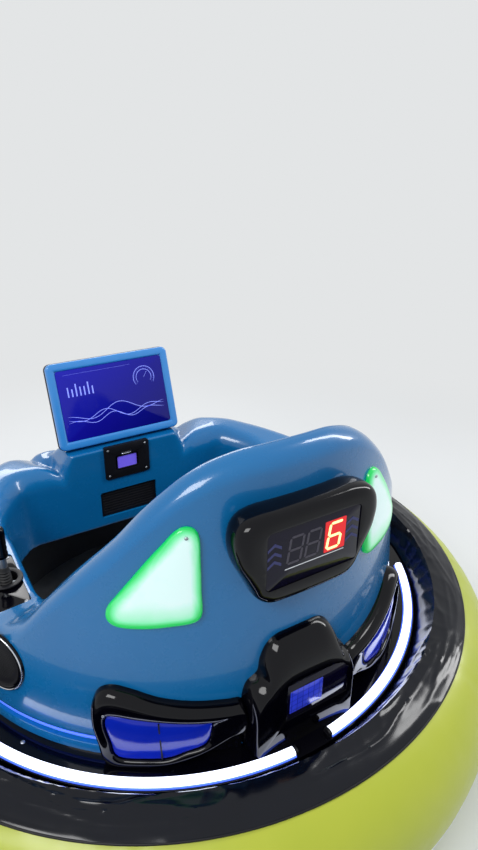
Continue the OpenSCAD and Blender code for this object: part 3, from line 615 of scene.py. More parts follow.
def headLampShape(name, grow, thick, side, out=0.0):
    outline = smoothClosed(shrunk(console["headOutline"], 1 + grow / 34), 6)
    tilt = radians(console["headTilt"])
    foot, level, rise = console["headFoot"], cos(tilt), sin(tilt)
    return loft(name, [[[side * (console["headX"] + x * level - (z - foot) * rise), y,
                               foot + x * rise + (z - foot) * level] for y, z in outline]
                             for x in (out - console["headT"], out - console["headT"] + thick)])


def frontCowl():
    parts = [sweepBody("lobes", 104.05, 255.95, 1.0, 340)]
    dash = -shell["dashY"]
    parts.append(loft("tower", [pill(w, dash - d, d, z, r) for z, w, d, r in console["towerRows"]]))
    atX, atY = console["shoulderAt"]
    for hand, s in sides:
        parts.append(loft("shoulder", [pill(h, atY, h, z, r, s * atX)
                                             for z, h, r in console["shoulderRows"]]))
    depth, half = console["screenT"] + 0.3, console["screenH"] / 2
    wides, deeps = (curveThrough([(row[0], row[k]) for row in console["housingRows"]]) for k in (1, 2))
    rings = []
    for z in np.linspace(console["housingRows"][0][0], console["housingRows"][-1][0], 26):
        w, d = float(wides(z)), float(deeps(z))
        rings.append([onScreen([p[0], p[1] - depth, z - half])
                      for p in pill(w, -d / 2, d / 2, 0, min(12, d / 2 - 1))])
    parts.append(loft("housing", rings))
    whole = joined("bodyFront", parts)
    addModifier(whole, "REMESH", mode="VOXEL", voxel_size=console["voxel"] * mm, adaptivity=0.0)
    addModifier(whole, "SMOOTH", factor=0.5, iterations=console["smoothing"])
    evaluated(whole)
    halfX, (z0, z1) = console["pocketW"] / 2, console["pocketZ"]
    pocket = roundedBox("pocketCut", (-halfX, dash - console["pocketDeep"], z0), (halfX, dash + 30, z1), 7)
    cuts = [headLampShape("headCut", 1.0, 56, s) for hand, s in sides]
    return shadeSmooth(cutAway(whole, pocket, *cuts), 50)


cowl = frontCowl()
settle(cowl, gelcoatBlue, ("front_cowl",))
print("front cowl", len(cowl.data.polygons))


# Inflated tube: an oval ring pressed flat under the deck, with welded panels and two beads round its side
tube = {
    "middleR": 683, "w": 334, "h": 360, "middleZ": 211, "deckEdge": 640, "deckZ": 324, "shoulderSlope": 1.6,
    "panels": 12, "weldR": 850, "weldWide": 7, "weldDeep": 1.4, "pucker": 0.9, "inward": 1.2, "steps": 384,
    "beads": ((163, 4.2, pipingWhite), (154, 3.4, pipingBlue), (145, 4.2, pipingWhite)),
}


def tubeTop(r):
    u = (r - tube["middleR"]) / (tube["w"] / 2)
    oval = tube["middleZ"] + tube["h"] / 2 * sqrt(max(0, 1 - u * u))
    return min(oval, tube["deckZ"] + max(0, r - tube["deckEdge"]) * tube["shoulderSlope"])


def bumperTube():
    outline = []
    for t in fullTurn(96):
        r, z = tube["middleR"] + tube["w"] / 2 * cos(t), tube["middleZ"] + tube["h"] / 2 * sin(t)
        outline.append((r, min(z, tubeTop(r)) if sin(t) > 0 else z, t))
    rings = []
    panel = 360 / tube["panels"]
    for a in evenly(0, 360, tube["steps"]):
        toWeld = radians(abs((a + panel / 2) % panel - panel / 2)) * tube["weldR"]    # to the nearest
        weld = exp(-(toWeld / tube["weldWide"]) ** 2)
        ring = []
        for r, z, t in outline:
            pucker = tube["pucker"] * noise.noise(Vector((a * 0.35, r * 0.02, z * 0.02)))
            dip = (pucker - tube["weldDeep"] * weld) * (cos(t) > -0.2) - tube["inward"]
            ring.append(turned(a, r + dip * cos(t), z + dip * sin(t)))
        rings.append(ring)
    return loft("bumperTube", rings[:-1] + rings[:1], False, False)


settle(bumperTube(), limePvc, ("bumper_tube",))


def ovalRadius(z):
    u = (z - tube["middleZ"]) / (tube["h"] / 2)
    return tube["middleR"] + tube["w"] / 2 * sqrt(max(0, 1 - u * u))


def newTree(name, inputs):    # geometry tree with named inputs, the geometry and the finish among them
    tree = bpy.data.node_groups.new(name, "GeometryNodeTree")
    for label, kind in {"Geometry": "Geometry", **inputs, "Finish": "Material"}.items():
        tree.interface.new_socket(label, in_out="INPUT", socket_type="NodeSocket" + kind)
    tree.interface.new_socket("Geometry", in_out="OUTPUT", socket_type="NodeSocketGeometry")
    return tree, addNode(tree, "NodeGroupInput").outputs


def endTree(tree, shape, finish):    # made real and given its finish
    real = addNode(tree, "RealizeInstances", {"Geometry": shape}).outputs[0]
    done = addNode(tree, "SetMaterial", {"Geometry": real, "Material": finish}).outputs[0]
    addNode(tree, "NodeGroupOutput", {"Geometry": done})
    return tree


# A tree that draws a bead of round section along a circle; it makes the tube's piping and other rims
def beadTree():
    tree, given = newTree("beadAlongCircle", {"Ring radius": "Float", "Bead radius": "Float", "Steps": "Int",
                                              "Sides": "Int"})
    path = addNode(tree, "CurvePrimitiveCircle",
                   {"Resolution": given["Steps"], "Radius": given["Ring radius"]}).outputs["Curve"]
    section = addNode(tree, "CurvePrimitiveCircle",
                      {"Resolution": given["Sides"], "Radius": given["Bead radius"]}).outputs["Curve"]
    bead = addNode(tree, "CurveToMesh", {"Curve": path, "Profile Curve": section})
    return endTree(tree, bead.outputs["Mesh"], given["Finish"])


def useTree(tree, host, values):    # a modifier whose inputs are set by their sockets' identifiers
    modifier = host.modifiers.new(tree.name, "NODES")
    modifier.node_group = tree
    for item in tree.interface.items_tree:
        if item.item_type == "SOCKET" and item.in_out == "INPUT" and item.name in values:
            modifier[item.identifier] = values[item.name]
    return evaluated(host)


circleBead = beadTree()


def ringBead(name, radius, bead, finish, z):    # level bead round the middle of the car
    host = meshObject(name, [(0, 0, 0)], [])
    useTree(circleBead, host, {"Ring radius": radius * mm, "Bead radius": bead * mm, "Steps": 256,
                               "Sides": 10, "Finish": finish})
    settle(shadeSmooth(cleanMesh(moved(host, 0, 0, z))), None)


for k, (z, bead, finish) in enumerate(tube["beads"]):
    ringBead(f"tubePiping{k}", ovalRadius(z) - bead * 0.9, bead, finish, z)
print("tube and piping")


# Cover: vinyl laid on the tube, gathered at the deck's edge so that it puckers outwards
cover = {"inner": 640.3, "outer": 755, "thick": 2.4, "rows": 30, "steps": 900, "pleats": 84,
         "pleatDeep": 2.6, "creaseDeep": 3.0}


def ringNoise(t, turns, across):    # noise that closes round the ring
    return noise.noise(Vector((cos(t) * turns, sin(t) * turns, across)))


def tubeCover():
    rings = []
    for a in evenly(0, 360, cover["steps"]):
        t = radians(a)
        top, under = [], []
        for share in evenly(0, 1, cover["rows"]):
            r = cover["inner"] + (cover["outer"] - cover["inner"]) * share
            wander = 2.2 * ringNoise(t, 3, share * 0.8)
            pleat = 0.5 + 0.5 * cos(cover["pleats"] * t + 5 * wander)
            gather = pleat ** 3 * exp(-share * 3.2) * cover["pleatDeep"] * min(1, share * 9)
            crease = (1 - min(1, abs(ringNoise(t, 4.5, share * 5.5 + 0.6 * wander)) * 3.4)) ** 2
            crease *= cover["creaseDeep"] * min(1, share * 6) * (1 - share * 0.5)
            lift = 1.4 * (1 + ringNoise(t, 6, share * 2 + 9))
            z = tubeTop(r) + 0.8 + gather + crease + lift * min(1, share * 5) * (1 - share)
            top.append(turned(a, r, z + cover["thick"]))
            under.append(turned(a, r, tubeTop(r) + 0.3))
        rings.append(top + under[::-1])
    return loft("tubeCover", rings[:-1] + rings[:1], False, False)


vinylCover = tubeCover()
settle(vinylCover, darkVinyl, ("tube_cover",))
ringBead("coverHem", cover["outer"], 2.6, blackSatin, tubeTop(cover["outer"]) + 1.6)
print("cover", len(vinylCover.data.polygons))


# Number housing: a black pillow on the backrest with a smoked window, three digits and two rows of chevrons
number = {
    "halfX": 150, "z": 827, "out": 50, "edge": 28, "neck": 46, "square": 0.72,
    "rows": [(0.38, 51, 10, 26), (0.67, 50, 18, 26), (0.86, 42, 28, 24), (0.96, 26, 34, 18), (1, 0, 36, 8),
             (0.98, -28, 35, 0), (0.94, -48, 34, -6), (0.86, -73, 32, -12), (0.78, -97, 30, -18),
             (0.71, -118, 26, -24), (0.58, -133, 20, -26), (0.34, -137, 10, -26)],
    "windowW": 200, "windowH": 118, "windowDown": 38, "windowT": 6,
    "digitX": (41, 4, -43), "digitZ": 800, "digitW": 27, "digitH": 51, "stroke": 4.6, "slant": 0.14,
    "gap": 0.9,
    "chevronX": (84, -82), "chevronZ": 776, "chevronStep": 17, "chevronW": 28, "chevronRise": 9,
    "chevronT": 6,
}
numberY = skinLine(number["z"]) + number["out"]
segments = {    # which bars of a seven-bar digit are drawn, from the top round and the middle last
    8: (1, 1, 1, 1, 1, 1, 1), 6: (1, 0, 1, 1, 1, 1, 1)}


def windowBox(name, inset, y0, y1, radius):
    halfX, halfZ = number["windowW"] / 2 - inset, number["windowH"] / 2 - inset
    mid = number["z"] - number["windowDown"]
    return roundedBox(name, (-halfX, y0, mid - halfZ), (halfX, y1, mid + halfZ), radius)


def mouldOutline(half):
    return smoothClosed(mirroredHalf(half), 5)


def numberHousing():
    half, mid = number["halfX"], number["z"]
    wide = mouldOutline([(half * r[0], mid + r[1]) for r in number["rows"]])
    face = mouldOutline([(half * r[0] - r[2], mid + r[1] - r[3]) for r in number["rows"]])
    rings = []
    for t in evenly(-72, -12, 5) + evenly(0, 90, 9):
        t = radians(t)
        deep = number["edge"] if t > 0 else number["neck"]
        inward = 1 - cos(t) ** number["square"]
        out = copysign(abs(sin(t)) ** number["square"], t) * deep
        rings.append([[p[0], numberY - number["edge"] + out, p[1]]
                      for p in (mix(a, b, inward) for a, b in zip(wide, face))])
    housing = cutAway(loft("numberHousing", rings),
                      windowBox("windowCut", 0, numberY - number["windowT"], numberY + 30, 10))
    return shadeSmooth(softened(housing, 1.2, 60), 45)


def flatBar(name, outline, y0, y1):    # outline in X and Z made a plate between two depths
    return loft(name, [[[x, y, z] for x, z in outline] for y in (y1, y0)])


def digitBars(name, middleX, lit, y):
    w, h, half = number["digitW"] / 2, number["digitH"] / 2, number["stroke"] / 2
    bars = []
    corners = np.array([(-w, h), (w, h), (w, 0), (w, -h), (-w, -h), (-w, 0), (-w, h)])
    for wanted, a, b in zip(lit, corners[[0, 1, 2, 3, 4, 5, 5]], corners[[1, 2, 3, 4, 5, 6, 2]]):
        if wanted:
            along = (b - a) / np.linalg.norm(b - a)
            across = np.array((-along[1], along[0])) * half
            a, b = a + along * number["gap"], b - along * number["gap"]
            outline = [a, a + along * half + across, b - along * half + across, b,
                       b - along * half - across, a + along * half - across]
            outline = [(middleX - u - v * number["slant"], number["digitZ"] + v) for u, v in outline]
            bars.append(flatBar("bar", outline, y, y + 0.8))
    return joined(name, bars)


settle(numberHousing(), blackGloss, ("number_housing",))
plateY = numberY - 1.2
plate = windowBox("numberWindow", 0.5, numberY - number["windowT"] + 0.3, plateY, 9.5)
settle(softened(plate, 0.6), smokedPlate, ("number_window",))
field = roundedBox("digitField", (number["digitX"][2] - 24, plateY - 0.5, number["digitZ"] - 32),
                   (number["digitX"][2] + 22, plateY + 0.3, number["digitZ"] + 32), 2)
settle(field, digitRed)
settle(digitBars("digitLit", number["digitX"][2], segments[6], plateY + 0.2), digitGlow)
unlit = [digitBars("digit", x, segments[8], plateY - 0.2) for x in number["digitX"][:2]]
settle(joined("digitsUnlit", unlit), digitOff)
chevrons = []
w, rise, t = number["chevronW"] / 2, number["chevronRise"], number["chevronT"]
for x in number["chevronX"]:
    for z in [number["chevronZ"] + k * number["chevronStep"] for k in range(3)]:
        for s in (1, -1):
            outline = [(x, z + rise), (x + s * w, z), (x + s * w, z + t), (x, z + rise + t)][::s]
            chevrons.append(flatBar("chevron", outline, plateY - 0.2, plateY + 0.3))
settle(joined("chevronMarks", chevrons), markOff)
ledge = [(62, 763), (-66, 763), (-66, 764.6), (62, 764.6)]
settle(flatBar("numberLedge", ledge, plateY - 0.2, plateY + 0.4), pipingWhite)
print("number housing")


# Rear pod with its display, a black moulding between the tail lamps
pod = {
    "halfX": 121, "out": 37, "foot": 480,
    "rows": [(591, 98, 516, 96), (588, 72, 514, 78), (574, 52, 508, 62), (546, 38, 502, 46),
             (518, 32, 494, 34), (500, 10, 482, 22), (470, 0, 464, 12), (420, 0, 420, 9), (366, 0, 370, 9),
             (340.3, 4, 346, 12)],
    "display": [(50, 410), (-98, 410), (-98, 474), (-84, 492), (-62, 500), (50, 500)], "displayT": 4,
    "lcd": (-34, 43, 424, 480),
}
podFaceY = shell["skinRadius"] + pod["out"]


def rearPod():
    rootLine, faceLine = (mouldOutline([(pod["halfX"] - row[k + 1], row[k]) for row in pod["rows"]])
                          for k in (0, 2))
    y0 = shell["skinRadius"] - 16
    rings = [[[p[0], pod["foot"], p[1]] for p in rootLine]]
    for t in sweepTo(pi / 2, 12):
        rings.append([[p[0], y0 + (podFaceY - y0) * sin(t), p[1]]
                      for p in (mix(a, b, 1 - cos(t)) for a, b in zip(rootLine, faceLine))])
    body = cutAway(loft("rearPod", rings),
                   flatBar("displayCut", pod["display"], podFaceY - pod["displayT"], podFaceY + 20))
    return shadeSmooth(softened(body, 1.5, 50), 45)


settle(rearPod(), blackGloss, ("rear_housing",))
panel = flatBar("podPanel", shrunk(pod["display"], 0.99), podFaceY - pod["displayT"] - 0.5, podFaceY - 1.5)
settle(softened(panel, 0.5), smokedPlate)


def lcdFinish():    # liquid-crystal panel at rest: blue backlight with faint cell lines
    material, tree, place = newMaterial("lcdPanel")
    upright = addNode(tree, "Mapping", {"Vector": place, "Rotation": (pi / 2, 0, 0)})
    cell = 0.013
    cells = addNode(tree, "TexBrick", {
        "Vector": upright.outputs["Vector"], "Scale": 1.0, "Mortar Size": 0.0006, "Brick Width": cell,
        "Row Height": cell, "Bias": 0.0, "Color1": linear("#2836B8"), "Color2": linear("#2231A8"),
        "Mortar": linear("#141E78")}, offset=0.0).outputs["Color"]
    surfaceShader(tree, {"Base Color": cells, "Roughness": 0.2, "Coat Weight": 0.4, "Emission Color": cells,
                         "Emission Strength": 0.6})
    return material


x0, x1, z0, z1 = pod["lcd"]
lcd = roundedBox("podDisplay", (x0, podFaceY - 2.5, z0), (x1, podFaceY - 0.9, z1), 2)
settle(softened(lcd, 0.3), lcdFinish())
print("rear pod")


# Tail lamps: a black rolled frame laid on the skin, and a blue lens in it
tail = {
    "out": 28, "lensSink": 8, "seat": -10,
    "rows": [((122, 464), (124, 450), (180, 440)), ((151, 470), (152, 455), (200, 443)),
             ((212, 479), (213, 463), (230, 448)), ((268, 494), (270, 477), (270, 455)),
             ((309, 513), (308, 493), (306, 461)), ((340, 521), (334, 501), (332, 466)),
             ((358, 512), (349, 496), (345, 465)), ((369, 487), (358, 478), (350, 457)),
             ((371, 452), (361, 450), (351, 440)), ((365, 399), (356, 400), (345, 400)),
             ((353, 344), (346, 350), (336, 361)), ((305, 342), (300, 347), (296, 357)),
             ((262, 344), (260, 350), (254, 359)), ((215, 358), (216, 364), (224, 372)),
             ((180, 376), (182, 382), (196, 382)), ((146, 396), (148, 402), (186, 393)),
             ((122, 402), (125, 410), (181, 412))],
    "scoop": [(122, 406), (146, 401), (182, 381), (217, 363), (264, 349), (258, 340.4), (122, 340.4)],
    "scoopOut": 6,
    "screws": [(162, 455), (236, 470), (316, 487), (350, 470), (352, 380), (250, 352)],
    "seam": ((267, 452), (269.5, 452), (266.5, 362), (264, 362)), "seamOut": (20, 23.4),
}


def tailEdge(k):
    return smoothClosed([row[k] for row in tail["rows"]], 5)


def skinRings(outline, stages):    # stages are pairs of a share of the outline and a height over the skin
    return [[onSkin(p, out) for p in shrunk(outline, share)] for share, out in stages]


def tailFrame():
    outer, ridge, lens = (tailEdge(k) for k in range(3))
    rings = [[onSkin(p, tail["seat"]) for p in outer]]
    for t in sweepTo(pi / 2, 8):
        rings.append([onSkin(mix(a, b, 1 - cos(t)), 2 + (tail["out"] - 2) * sin(t))
                      for a, b in zip(outer, ridge)])
    for share, drop in ((0.25, 0.3), (0.5, 1.2), (0.7, 2.6), (0.85, 4.2), (0.95, 6), (1, 8)):
        rings.append([onSkin(mix(a, b, share), tail["out"] - drop) for a, b in zip(ridge, lens)])
    floorOut = tail["out"] - tail["lensSink"] - 6
    rings += skinRings(lens, [(share, floorOut) for share in (1, 0.8, 0.6, 0.4, 0.2, 0.05)])
    return loft("tailFrame", rings)


def tailScoop():
    top = tail["scoopOut"]
    stages = ((1, tail["seat"]), (1, top - 1.5), (0.985, top))
    return loft("tailScoop", skinRings(tail["scoop"], stages))


def tailLens():
    lens = shrunk(tailEdge(2), 0.975)
    seat = tail["out"] - tail["lensSink"] - 5.4
    stages = [(0.05, 0), (0.3, 0), (0.6, 0), (1.0, 0), (1.0, 3.4), (0.99, 4.4), (0.965, 5.2), (0.92, 5.8),
              (0.85, 6.4), (0.7, 7.2), (0.5, 7.8), (0.25, 8.2), (0.05, 8.3)]
    return loft("tailLensLeft", skinRings(lens, [(share, seat + rise) for share, rise in stages]))


def settlePair(thing, stem, material, node=None):    # the left piece and its twin on the right
    twin = flipped(thing, stem + "Right")
    settle(thing, material, (node + "_left",) if node else ())
    settle(twin, material, (node + "_right",) if node else ())


frameLeft = shadeSmooth(joined("tailFrameLeft", [tailFrame(), tailScoop()]), 45)
lensLeft = tailLens()
seam = loft("tailSeamLeft", [[onSkin(p, out) for p in tail["seam"]] for out in tail["seamOut"]])
settlePair(frameLeft, "tailFrame", blackGloss, "tail_frame")
settlePair(lensLeft, "tailLens", lensBlue, "tail_lens")
settlePair(seam, "tailSeam", blackSatin)
print("tail lamps")


# Side lamps: opal shields beside the number
lamp = {
    "rows": [(193, 834), (204, 846), (219, 847), (233, 838), (250, 818), (273, 790), (300, 752), (324, 716),
             (340, 688), (340, 665), (328, 653), (287, 649), (241, 652), (202, 657), (191, 668), (190, 720),
             (190, 780)],
    "stages": [(1.0, -6), (1.0, 2.5), (0.995, 4.5), (0.98, 6.8), (0.955, 8.4), (0.92, 9.2), (0.87, 9.8),
               (0.8, 10.3), (0.7, 10.8), (0.58, 11.2), (0.44, 11.5), (0.3, 11.7), (0.15, 11.8),
               (0.04, 11.8)],
    "glowWide": 20, "lowFrom": 706, "lowReach": 55, "lowGlow": 0.6, "screw": (213, 832, 11.2),
}


def sideLamp():    # with the share of edge light at each point as an attribute
    outline = smoothClosed(lamp["rows"], 4)
    shield = loft("sideLampLeft", skinRings(outline, lamp["stages"]))
    light = shield.data.attributes.new("edgeLight", "FLOAT", "POINT")
    values = []
    for v in shield.data.vertices:
        x, y, z = (c / mm for c in v.co)
        flat = np.array((shell["skinRadius"] * x / hypot(x, y), z))
        near = min(np.linalg.norm(flat - p) for p in outline)
        out = hypot(x, y) - skinLine(z)
        low = lamp["lowGlow"] * within((lamp["lowFrom"] - z) / lamp["lowReach"], 0, 1)
        values.append(min(1.0, max(0.0, 1 - near / lamp["glowWide"]) ** 1.2 + low) if out > 3 else 1.0)
    light.data.foreach_set("value", values)
    return shield


settlePair(sideLamp(), "sideLamp", lampMilk, "side_lamp")
print("side lamps")


# A tree that puts copies of one shape on a host's points, each turned by the point's own attribute
def copyTree():
    tree, given = newTree("copiesOnPoints", {"Shape": "Object"})
    shape = addNode(tree, "ObjectInfo", {"Object": given["Shape"]}).outputs["Geometry"]
    turn = addNode(tree, "InputNamedAttribute", {"Name": "turn"}, data_type="FLOAT_VECTOR")
    spread = addNode(tree, "InstanceOnPoints",
                     {"Points": given["Geometry"], "Instance": shape, "Rotation": turn.outputs["Attribute"]})
    return endTree(tree, spread.outputs["Instances"], given["Finish"])


copiesOnPoints = copyTree()


def copies(name, shape, places, finish):    # places are pairs of a point in mm and the way its top faces
    shape.hide_render = True
    host = meshObject(name, [p for p, way in places], [])
    turn = host.data.attributes.new("turn", "FLOAT_VECTOR", "POINT")
    for i, (p, way) in enumerate(places):
        turn.data[i].vector = Vector(way).to_track_quat("Z", "X").to_euler()
    return shadeSmooth(useTree(copiesOnPoints, host, {"Shape": shape, "Finish": finish}), 40)


def screwShape(name, radius, height):    # domed head with a cross recess, its seat at the origin
    head = loft(name, [roundel(radius * r, height * z, 20) for r, z in (
        (1, -0.4), (1, 0.25), (0.94, 0.5), (0.8, 0.75), (0.58, 0.93), (0.3, 1.0))])
    arm, wide = radius * 0.55, radius * 0.15
    return cutAway(head, *[roundedBox("bar", (-x, -y, height * 0.55), (x, y, height * 1.5), 0.01, 2, 1)
                           for x, y in ((arm, wide), (wide, arm))])


def settleCopies(name, shape, places, body="root"):    # screws and bolts
    settle(copies(name, shape, places, zincSteel), None, body=body)


def facingOut(points):    # places whose tops face away from the middle line of the car
    return [(p, Vector((p[0], p[1], 0)).normalized()) for p in points]


smallScrew = screwShape("smallScrew", 3.4, 1.8)
panelScrew = screwShape("panelScrew", 4.6, 2.4)
seats = [onSkin((s * x, z), out) for hand, s in sides
         for x, z, out in [(x, z, tail["out"] - 3.4) for x, z in tail["screws"]] + [lamp["screw"]]]
settleCopies("lampScrews", smallScrew, facingOut(seats))


# Light strips on the deck and on the cheeks, and the lit line in the groove
strips = {"radius": 625, "wide": 18, "high": 12, "crown": 5, "angles": ((4, 62), (104, 150)),
          "groove": (560.5, 373, 3.0),
          "foot": ((-12, 340.2), (-12, 342.6), (-11, 343.2), (11, 343.2), (12, 342.6), (12, 340.2)),
          "cheek": (106, 142, 452, 474), "cheekOut": (8, 16), "cheekRoot": 0.6, "cheekSteps": 48}


def stripSection():
    w, r, crown, z0 = strips["wide"] / 2, strips["radius"], strips["crown"], shell["deckTop"] + 0.2
    top = [(r + w * cos(t), z0 + strips["high"] + crown * (sin(t) - 1))
           for t in sweepTo(pi, 12)]
    return [(r + w, z0)] + top + [(r - w, z0)]


arcs, caps, feet = [], [], []
foot = [(strips["radius"] + w, z) for w, z in strips["foot"]]
capSection = [(r + (0.6 if r > strips["radius"] else -0.6), z + (0.4 if z > shell["deckTop"] + 5 else 0))
              for r, z in stripSection()]
for a0, a1 in strips["angles"]:
    for hand, s in sides:
        arcs.append(revolve("strip", stripSection(), 60, s * a0, s * a1))
        caps += [revolve("cap", capSection, 2, s * a, s * (a + 0.6)) for a in (a0 - 0.55, a1 - 0.05)]
        feet.append(revolve("foot", foot, 60, s * a0, s * a1))
settle(joined("stripFeet", feet), sillGlow)
settle(shadeSmooth(cleanMesh(joined("ringStrips", arcs)), 50), stripGlow, ("ring_lights",))
settle(shadeSmooth(cleanMesh(joined("stripEnds", caps)), 50), blackSatin)


def onSide(a, z, out):
    return turned(a, skinAt(z) + bulgeAt(a, z) + out, z)


cheeks = []
a0, a1, z0, z1 = strips["cheek"]
count, root, (out0, out1) = strips["cheekSteps"], strips["cheekRoot"], strips["cheekOut"]
for hand, s in sides:
    rings = []
    for i in range(count + 1):
        share, end = i / count, min(1, min(i, count - i) / 2 + 0.25)
        high = (out0 + (out1 - out0) * share) * end - root
        half, midZ = (z1 - z0) / 2 * end, (z0 + z1) / 2
        ring = [(midZ + half * cos(t), root + high * (0.55 + 0.45 * sin(t)))
                for t in sweepTo(pi, 10)]
        ring = [(midZ + half, root)] + ring + [(midZ - half, root)]
        rings.append([onSide(s * (a0 + (a1 - a0) * share), z, o) for z, o in ring])
    cheeks.append(loft("cheek", rings))
settle(joined("cheekStrips", cheeks), stripGlow, ("cheek_strips",))
r, z, bead = strips["groove"]
ringBead("grooveLight", r, bead, sillGlow, z)
print("light strips")


# Head lamps in the console's shoulders: a black bezel round a milky lens
bezels, lenses = [], []
for hand, s in sides:
    bezel = headLampShape("bezel", 0, console["headT"] - 0.5, s, 0.6)
    cutAway(bezel, headLampShape("bezelCut", -9, 20, s, 9))
    bezels.append(softened(bezel, 1.4))
    lenses.append(softened(headLampShape("lens", -9.6, 9.2, s, 3.4), 1.6))
settle(joined("headBezels", bezels), blackGloss, ("head_lamps",))
settle(joined("headLenses", lenses), stripGlow)
print("head lamps")


# Screen: a blue frame with a dark surround, and a glossy panel with a plain generic picture
screen = {
    "radius": 18, "surroundDeep": 17, "bezel": 24, "glassSink": 2.2, "glassBack": -5.6,
    "waves": ((0.0, 16, 150, 0.0), (-9, 12, 120, 0.9), (9, 20, 190, 1.9)), "waveZ": -42,
    "waveX": (-148, 148), "waveFade": 330, "line": 1.5, "dial": (-98, 44, 33), "dialOver": 0.6, "ticks": 24,
    "hand": 2.2, "dialLine": 1.6, "rule": (-60, 140, 88),
    "bars": {"x": 62, "z": 24, "step": 12, "wide": 15.4, "count": 7, "low": 14, "high": 22},
}


def roundedRing(w, h, radius, y, inset=0.0):
    r = max(radius - inset, 1)
    return [onScreen((x, y, z)) for x, z in rounded(w / 2 - inset, h / 2 - inset, r)]


def screenShell(name, stages):    # stages are pairs of depth and inset
    w, h = console["screenW"], console["screenH"]
    whole = loft(name, [roundedRing(w, h, screen["radius"], y, inset) for y, inset in stages])
    return shadeSmooth(whole, 35)


back, seatY, lip = -console["screenT"], -screen["surroundDeep"], screen["bezel"]
frameBlueShell = screenShell("screenFrame", [
    (seatY, 1.0), (-5, 1.0), (-2.4, 1.8), (-0.8, 3.4), (0, 6), (0, lip - 6), (-0.6, lip - 3),
    (-2, lip - 1), (-4, lip), (-6, lip + 0.5), (-6, 60), (-8, 80)])
settle(frameBlueShell, frameBlue, ("screen_frame",))
surround = screenShell("screenSurround", [
    (back, 3), (back + 1.5, 1), (back + 4, 0), (seatY - 1, 0), (seatY - 0.2, 0.5), (seatY, 6)])
settle(surround, blackSatin)


def pictureFinish():    # a lit panel under glass: deep blue, paler towards one corner
    material, tree, place = newMaterial("screenPicture")
    apart = addNode(tree, "SeparateXYZ", {"Vector": place}).outputs
    slant = counted(tree, "MULTIPLY_ADD", apart["X"], 0.9, apart["Z"])
    share = addNode(tree, "MapRange", {"Value": slant, "From Min": 0.5, "From Max": 1.0})
    tone = blended(tree, share.outputs["Result"], "#070660", "#12129A")
    surfaceShader(tree, {"Base Color": tone, "Roughness": 0.1, "IOR": 1.36, "Emission Color": tone,
                         "Emission Strength": 0.5})
    return material


glassW, glassH = (console[key] - 2 * lip - 1 for key in ("screenW", "screenH"))
glass = loft("screenGlass", [roundedRing(glassW, glassH, 8, y)
                                   for y in (screen["glassBack"], -screen["glassSink"])])
settle(softened(glass, 0.6), pictureFinish(), ("screen_glass",))
lineGlow = makeFinish("lineGlow",    # pale lines of the lit picture
    base="#7F8CF0", rough=0.3, glow="#8C98FF", strength=0.55)


def ribbon(points, wide):    # thin band on the glass through points in X and Z
    left, right, n = [], [], len(points)
    for i, p in enumerate(points):
        way = np.subtract(points[min(i + 1, n - 1)], points[max(i - 1, 0)])
        taper = wide * min(1, 0.25 + min(i, n - 1 - i) / 6)
        across = np.array((-way[1], way[0])) / np.linalg.norm(way) * taper / 2
        left.append(p + across)
        right.append(p - across)
    faces = [[i, i + 1, 2 * n - 2 - i, 2 * n - 1 - i] for i in range(n - 1)]
    y = 0.25 - screen["glassSink"]
    return meshObject("ribbon", [onScreen((x, y, z)) for x, z in left + right[::-1]], faces)


lines = []
x0, x1 = screen["waveX"]
for lift, high, length, phase in screen["waves"]:
    lines.append(ribbon([(x, screen["waveZ"] + lift + high * sin(2 * pi * x / length + phase)
                          * cos(pi * x / screen["waveFade"])) for x in np.linspace(x0, x1, 60)],
                        screen["line"]))


def onDial(share, t):
    dialX, dialZ, dialR = screen["dial"]
    return dialX + dialR * share * cos(t), dialZ + dialR * share * sin(t)


over, wide = screen["dialOver"], screen["dialLine"]
for share in (1, 0.72):
    lines.append(ribbon([onDial(share, t) for t in np.linspace(-over, pi + over, 40)], wide))
for k, t in enumerate(np.linspace(-over, pi + over, screen["ticks"] + 1)):
    lines.append(ribbon([onDial(share, t) for share in (0.8 if k % 4 == 0 else 0.88, 0.96)], wide))
lines.append(ribbon([onDial(share, screen["hand"]) for share in (0, 0.6)], 3))
bars = screen["bars"]
for k in range(bars["count"]):
    high = bars["low"] + bars["high"] * abs(sin(1.1 * k + 0.4))
    x = bars["x"] + bars["step"] * k
    lines.append(ribbon([(x, bars["z"] + rise) for rise in (0, high)], bars["wide"]))
x0, x1, z = screen["rule"]
lines.append(ribbon([(x0, z), (x1, z)], 1.4))
settle(joined("screenLines", lines), lineGlow)
print("screen")


# Console: switch panel with its lit window, and the pocket's back
dash = {"panel": (-70, 70, 498, 604), "window": (-30, 32, 528, 568), "slot": (-14, 18, 572, 580),
        "slotGap": (-10, 14, 575, 577), "screwX": (-58, 58), "screwZ": (509, 593)}
pocketArea = (-console["pocketW"] / 2, console["pocketW"] / 2, *console["pocketZ"])


def dashBox(name, area, inset, y0, y1, radius):    # depths from the console's face
    x0, x1, z0, z1 = area
    face = -shell["dashY"]
    return roundedBox(name, (x0 + inset, face + y0, z0 + inset), (x1 - inset, face + y1, z1 - inset), radius)


